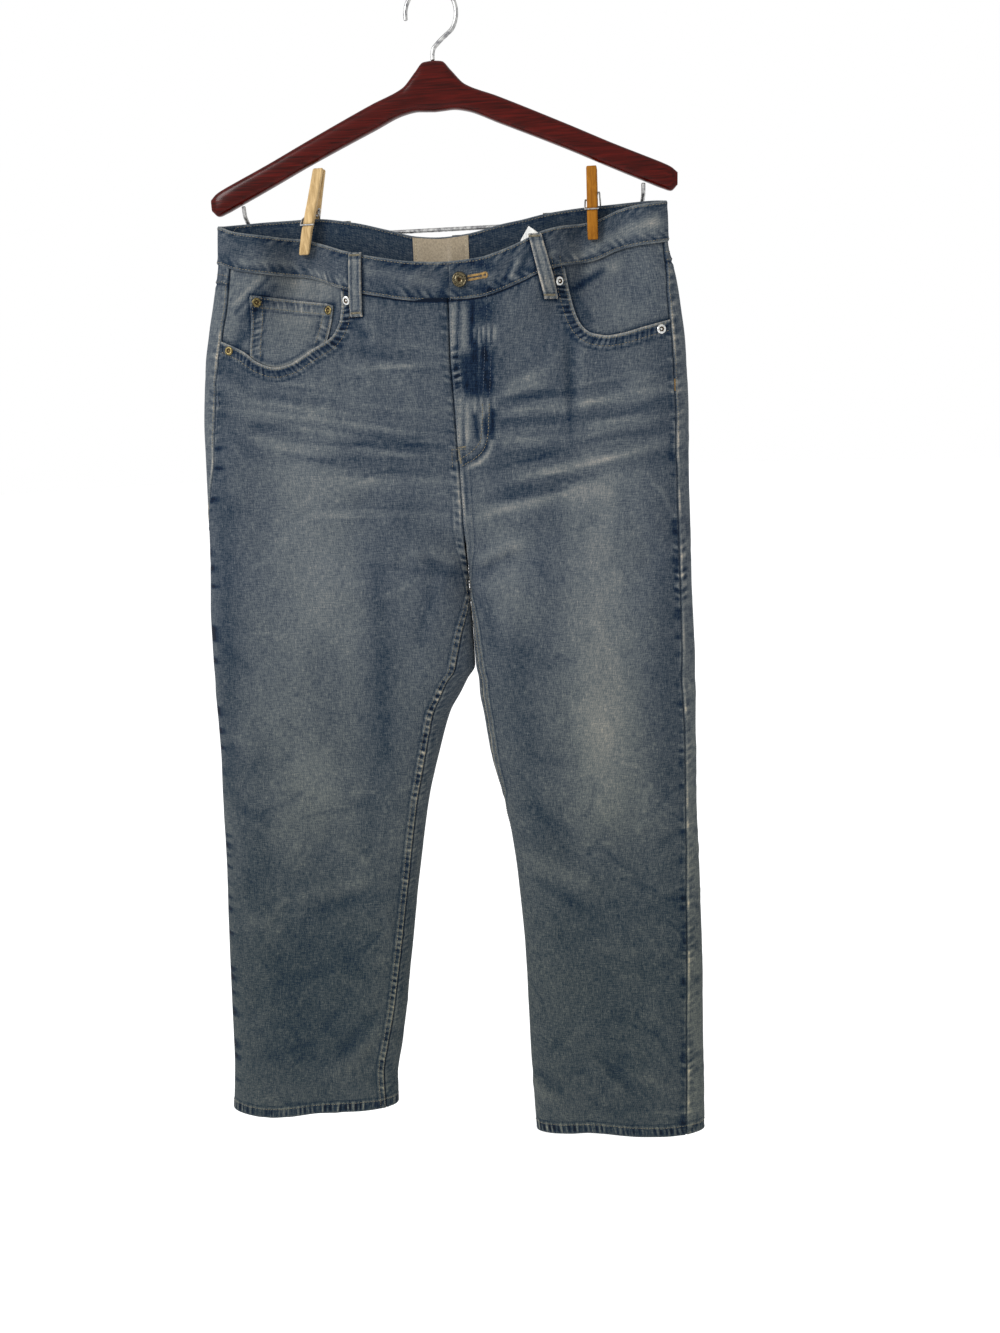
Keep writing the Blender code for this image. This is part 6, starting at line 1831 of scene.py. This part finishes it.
# %% Labels and the fly's inner layers
LABELS = [
    # node, x from, x to, lowest height, material, slot
    ("woven_label", -28.0, 27.0, -50.0, taupe_label, "woven_label"),
    ("care_label", 78.0, 98.0, -31.0, white_label, "white_label"),
]
CARE_CORNER = [(75, -40), (76.5, -29), (86, -14), (98.5, -23), (99, -40)]
LABEL_WALL = 0.55
across, down = np.linspace(0, 1, 45)[None, :], np.linspace(0, 1, 31)[:, None]
for name, low, high, bottom, finish, slot in LABELS:
    x = low + (high - low) * across + 0 * down
    top = TOP_EDGE_BACK("z", x) - 1.5
    z = top + (bottom - top) * down
    ends = np.minimum(x - low, high - x)
    depth = LABEL_DEPTH - 0.05 + 0 * x + 0.5 * bell(ends, 6) - 0.35 * bell(ends, 0.8, 3.6)
    depth = depth + 1.3 * np.sin(np.pi * across) * down**2 + 0.8 * ripple(across * 6 + 40) * down
    right = (x < OUTLINE("right_in", 0.0))[..., None]
    found = {side: SKINS[side].on_face("back", x, z) for side in SIDES}
    layers = []
    for thick in (0.0, LABEL_WALL):
        halves = (SKINS[side].at(*found[side], -(depth + thick)) for side in ("right", "left"))
        layers.append(np.where(right, *halves).reshape(-1, 3))
    faces = triangles(31, 45)
    if name == "care_label":
        layers, _, faces = clipped(layers, {}, faces, outline_field(x, z, CARE_CORNER).ravel())
    made = shell(name + "_ribbon", *layers, faces, {}, [finish])
    dress(made, slot, name)
    long = float(np.mean(top) - bottom)
zip_tape = label_material("blue_zip_tape", "#10161f", "#25303f", 1.1)
for name, finish in (("fly_facing", denim_plain), ("fly_shield", denim_plain), ("zip", zip_tape)):
    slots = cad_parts[name].data.materials
    slots.clear()
    slots.append(finish)
print("labels and inner layers finished")

# %% [markdown]
# ## Hanger and clothespins
# The hanger is one piece of contoured wood with rounded arms. Each clothespin is two legs of pine
# with a rounded notch across their outer face, where the spring's wire lies.

# %% Hanger
HANGER = Table("x under over half_y", [
    (0, 92, 136, 8.5), (9, 92.5, 135, 8.5), (17, 93, 127, 8.5), (30, 91, 114, 8),
    (60, 79, 102, 7.5), (127, 51, 73, 7), (167, 33, 55, 7), (200, 18.5, 41, 7),
    (214, 12.5, 35, 6.6), (222, 10, 31, 5.5), (228, 15, 26, 3),
])
HOOK_WIRE, HOOK_RADIUS, HOOK_ARC = 4.0, 24.0, (-38.0, 190.0)
HOOK_CENTRE_Z = HOOK_INSIDE_TOP + HOOK_WIRE / 2 - HOOK_RADIUS


def rounded_square(count, power):
    """A ring of points round a square of side 2: the lower the power, the sharper its corners."""
    angle = np.linspace(0, 2 * np.pi, count, endpoint=False) + np.pi / count
    return np.stack([np.sign(v) * np.abs(v) ** power for v in (np.cos(angle), np.sin(angle))], axis=1)


def loft(name, rings, material):
    """A closed solid through rings of points."""
    rings = np.asarray(rings, float)
    made = make_mesh(name, rings.reshape(-1, 3), tube_faces(*rings.shape[:2]), [material], sharp=40)
    shape = bmesh.new()
    shape.from_mesh(made.data)
    bmesh.ops.recalc_face_normals(shape, faces=shape.faces)
    shape.to_mesh(made.data)
    shape.free()
    return made


def wire(name, path, radius, material, sides=20):
    """A round wire along a path, with slightly rounded ends."""
    path = np.asarray(path, float)
    ahead = unit_rows(np.gradient(path, axis=0))
    across = np.cross(ahead[0], (0, 1, 0))
    if np.linalg.norm(across) < 0.1:
        across = np.cross(ahead[0], (1, 0, 0))
    angles = np.arange(sides)[:, None] * 2 * np.pi / sides
    spokes = []
    for forward in ahead:
        across = across - forward * (across @ forward)
        across /= np.linalg.norm(across)
        spokes.append(radius * (np.cos(angles) * across + np.sin(angles) * np.cross(forward, across)))
    rings = path[:, None] + np.array(spokes)
    first, last = path[0] + 0.6 * spokes[0], path[-1] + 0.6 * spokes[-1]
    rings[0] += 0.3 * radius * ahead[0]
    rings[-1] -= 0.3 * radius * ahead[-1]
    return loft(name, [first, *rings, last], material)


section = rounded_square(36, 0.62)
reach = np.concatenate([
    np.arange(0, 40, 2.0), np.arange(40, 208, 6.0), np.arange(208, 226, 1.5), [226.5, 227.4, 228]])
stations = np.concatenate([-reach[:0:-1], reach])
rings = []
for x in stations:
    under, over, half_y = (HANGER(c, abs(x)) for c in ("under", "over", "half_y"))
    rings.append([(x, a * half_y, (under + over) / 2 + b * (over - under) / 2) for a, b in section])
dress(loft("hanger_wood", rings, mahogany), "dark_wood", "hanger_body")

stem_foot = float(HANGER("over", 0)) + SEAM_GAP
turn = np.radians(np.linspace(*HOOK_ARC, 60))
arc = [(HOOK_RADIUS * math.cos(a), 0, HOOK_CENTRE_Z + HOOK_RADIUS * math.sin(a)) for a in turn]
stem = smooth_line([(0, 0, stem_foot), (0, 0, stem_foot + 5), (1, 0, stem_foot + 9.5),
                    (5, 0, stem_foot + 14), arc[0]], 1.2, more=2)
dress(wire("hook_wire", list(stem[:-1]) + arc, HOOK_WIRE / 2, zinc, 24), "wire", "hanger_hook")

BAR_END_X, BAR_BEND, BAR_LEAVES, BAR_TOP_CLEAR = 196.0, 22.0, 6.0, 1.7
bar_y = PINNED_Y + PINNED_HALF + BAND_PROUD + SEAM_GAP + BAR_DIAMETER / 2
turn = np.radians(np.linspace(90, 0, 7))
corner = [(BAR_END_X - BAR_BEND * (1 - math.cos(a)), BAR_Z + BAR_BEND * (1 - math.sin(a))) for a in turn]
half = corner + [(BAR_END_X, float(HANGER("under", BAR_END_X)) - BAR_TOP_CLEAR)]
line = [(-x, z) for x, z in half[::-1]] + [(-60, BAR_Z), (60, BAR_Z)] + half
path = [(x, bar_y * (1 - smooth_step((z - BAR_Z - BAR_LEAVES) / BAR_BEND)), z) for x, z in line]
path = smooth_line(path, 2.5, more=2)
dress(wire("trouser_bar_wire", path, BAR_DIAMETER / 2, zinc), "wire", "hanger_bar")
print("hanger:", len(stations), "stations")

# %% Clothespins
PIN_LEG = Table("up thick inner", [
    (0, 4.0, 7.2), (6, 5.5, 7.1), (22, 7.0, 7.1), (30, 7.0, 5.6), (38, 7.5, 4.6), (50, 6.5, 3.4),
    (84, 4.5, 1.2),
])
PIN_WIDTH, JAW_FORWARD, SPRING_UP, CROSS_UP, SPRING_WIRE = 10.0, 0.6, 40.0, 27.0, 1.6
NOTCH_DEEP, NOTCH_WIDE, COIL_TURN, COIL_STEPS = 0.95, 1.5, 28, 70
PIN_WOOD = {"right": pale_pine, "left": orange_pine}
PIN_TIP = np.array([0, 0.4, 1.2])
front_y = PINNED_Y - PINNED_HALF - BAND_PROUD
middle_y = (bar_y + BAR_DIAMETER / 2 + front_y) / 2 - JAW_FORWARD
block = rounded_square(28, 0.35)
cross_thick, cross_near = (float(PIN_LEG(key, CROSS_UP)) for key in ("thick", "inner"))
out = cross_near + cross_thick + SPRING_WIRE / 2 - 0.5
coil_r = float(PIN_LEG("inner", SPRING_UP)) - SPRING_WIRE / 2 - SEAM_GAP
wide = PIN_WIDTH / 2 + SPRING_WIRE / 2 + 0.8
for side, pin in PINS.items():
    long = pin["length"]
    ups = np.concatenate([PIN_TIP, np.arange(2.5, long - 2, 1.0), long - PIN_TIP[::-1]])
    for leg, sign in (("front", -1), ("back", 1)):
        rings = []
        for up in ups:
            near = float(PIN_LEG("inner", up))
            far = near + float(PIN_LEG("thick", up)) - NOTCH_DEEP * bell(up, NOTCH_WIDE, CROSS_UP)
            end = 1 - 0.14 * math.exp(-min(up, long - up) / 0.5)
            rings.append([(pin["x"] + pin["lean"] * up + a * PIN_WIDTH / 2 * end,
                           middle_y + sign * ((near + far) / 2 + b * (far - near) / 2 * end),
                           PIN_BOTTOM + up) for a, b in block])
        name = f"clothespin_{side}_{leg}"
        dress(loft(name + "_wood", rings, PIN_WOOD[side]), pin["wood"], name)

    # The spring's wire lies in one leg's notch, runs to the coil and on to the other leg's notch.
    x, below = (pin["x"] + pin["lean"] * up for up in (SPRING_UP, CROSS_UP))
    z, low = PIN_BOTTOM + SPRING_UP, PIN_BOTTOM + CROSS_UP
    coil = []
    for k in range(COIL_STEPS + 1):
        angle = math.radians(-90) + 2 * math.pi * k / COIL_TURN
        coil.append((x - wide + 1.2 + (2 * wide - 2.4) * k / COIL_STEPS,
                     middle_y + coil_r * math.cos(angle), z + coil_r * math.sin(angle)))
    lead = [(below + wide, middle_y - out, low), (below - wide, middle_y - out, low),
            (below - wide - 0.4, middle_y - out / 2, low + 5), (x - wide - 0.2, middle_y - 1, z - coil_r)]
    tail = [(x + wide + 0.2, middle_y + 1, z + coil_r), (below + wide + 0.8, middle_y + out / 2, low + 5),
            (below + wide, middle_y + out, low), (below - wide, middle_y + out, low)]
    path = [*smooth_line(lead, 0.8, more=2), *coil[1:-1], *smooth_line(tail, 0.8, more=2)]
    made = wire(f"clothespin_{side}_wire", path, SPRING_WIRE / 2, zinc, 10)
    dress(made, "wire", f"clothespin_{side}_spring")
print("clothespins:", len(PINS))

# %% [markdown]
# ## How each piece of cloth was cut
# The size each cloth piece was cut to is printed, measured on the smooth skin without its creases.

# %% Sheets
def rests_on(name):
    """What a piece of cloth hangs from or lies on."""
    side = name.split("_")[-1]
    if name == "waistband":
        return "hanger_bar"
    if name == "coin_pocket":
        return "pocket_facing_right"
    if name.startswith("back_pocket"):
        return "back_" + side
    return "yoke_" + side if name.startswith("back_") else "waistband"


for name in CLOTHS:
    piece = PIECES[name + "_cloth"]
    wide, high = piece["flat"]
    rests_on(name)
    print(f"{name:24} {wide * 1000:5.0f} x {high * 1000:5.0f} mm, {piece['flat_area']:.4f} m2")

# %% [markdown]
# ## Floor, light and camera
# A white studio: an even white surround, a white floor below the hems and one broad soft light
# from the upper left in front, which gives the creases their lit and shaded sides.

# %% Floor, light and camera
FLOOR_Z, KEY_PLACE, KEY_AIM, KEY_SIZE, KEY_WATTS = -1.45, (-1.5, -1.6, 0.7), (0, 0, -0.6), 0.9, 40.0
scene = bpy.context.scene
scene.view_settings.view_transform = "Standard"
bpy.ops.mesh.primitive_circle_add(vertices=96, radius=14, fill_type="NGON", location=(0, 0, FLOOR_Z))
floor = bpy.context.object
floor.name = "studio_floor"
paper, _, shader = new_material("white_studio_paper", 0.9)
shader.inputs["Base Color"].default_value = colour("#f6f6f6")
shader.inputs["Emission Color"].default_value = colour("#ffffff")
shader.inputs["Emission Strength"].default_value = 0.25
floor.data.materials.append(paper)

world = bpy.data.worlds.new("white_surround")
scene.world = world
world.use_nodes = True
surround = world.node_tree.nodes["Background"].inputs
surround["Color"].default_value = (1, 1, 1, 1)
surround["Strength"].default_value = 1.0

light = bpy.data.lights.new("broad_key_light", "AREA")
light.shape, light.size, light.energy = "DISK", KEY_SIZE, KEY_WATTS
key = bpy.data.objects.new("broad_key_light", light)
key.location = KEY_PLACE
key.rotation_euler = (Vector(KEY_AIM) - Vector(KEY_PLACE)).to_track_quat("-Z", "Y").to_euler()
scene.collection.objects.link(key)

# The camera stands in front, turned a little to the left, looking down and rolled by a trace.
AZIMUTH, DOWN, ROLL = math.radians(7.353), math.radians(14.132), math.radians(-2.132)
CAMERA_PLACE, LENS_MM = (0.1899, -1.1431, -0.3602), 30.13
ahead = Vector((-math.sin(AZIMUTH) * math.cos(DOWN), math.cos(AZIMUTH) * math.cos(DOWN), -math.sin(DOWN)))
level = Vector((math.cos(AZIMUTH), math.sin(AZIMUTH), 0))
upward = level.cross(ahead)
right = level * math.cos(ROLL) + upward * math.sin(ROLL)
top = upward * math.cos(ROLL) - level * math.sin(ROLL)
lens = bpy.data.cameras.new("main_camera")
lens.lens, lens.sensor_fit, lens.sensor_width, lens.clip_start = LENS_MM, "AUTO", 36, 0.05
camera = bpy.data.objects.new("main_camera", lens)
scene.collection.objects.link(camera)
matrix = Matrix((right, top, -ahead)).transposed().to_4x4()
matrix.translation = Vector(CAMERA_PLACE)
camera.matrix_world = matrix
scene.camera = camera
print("camera at", [round(v, 3) for v in camera.location], "lens", lens.lens)
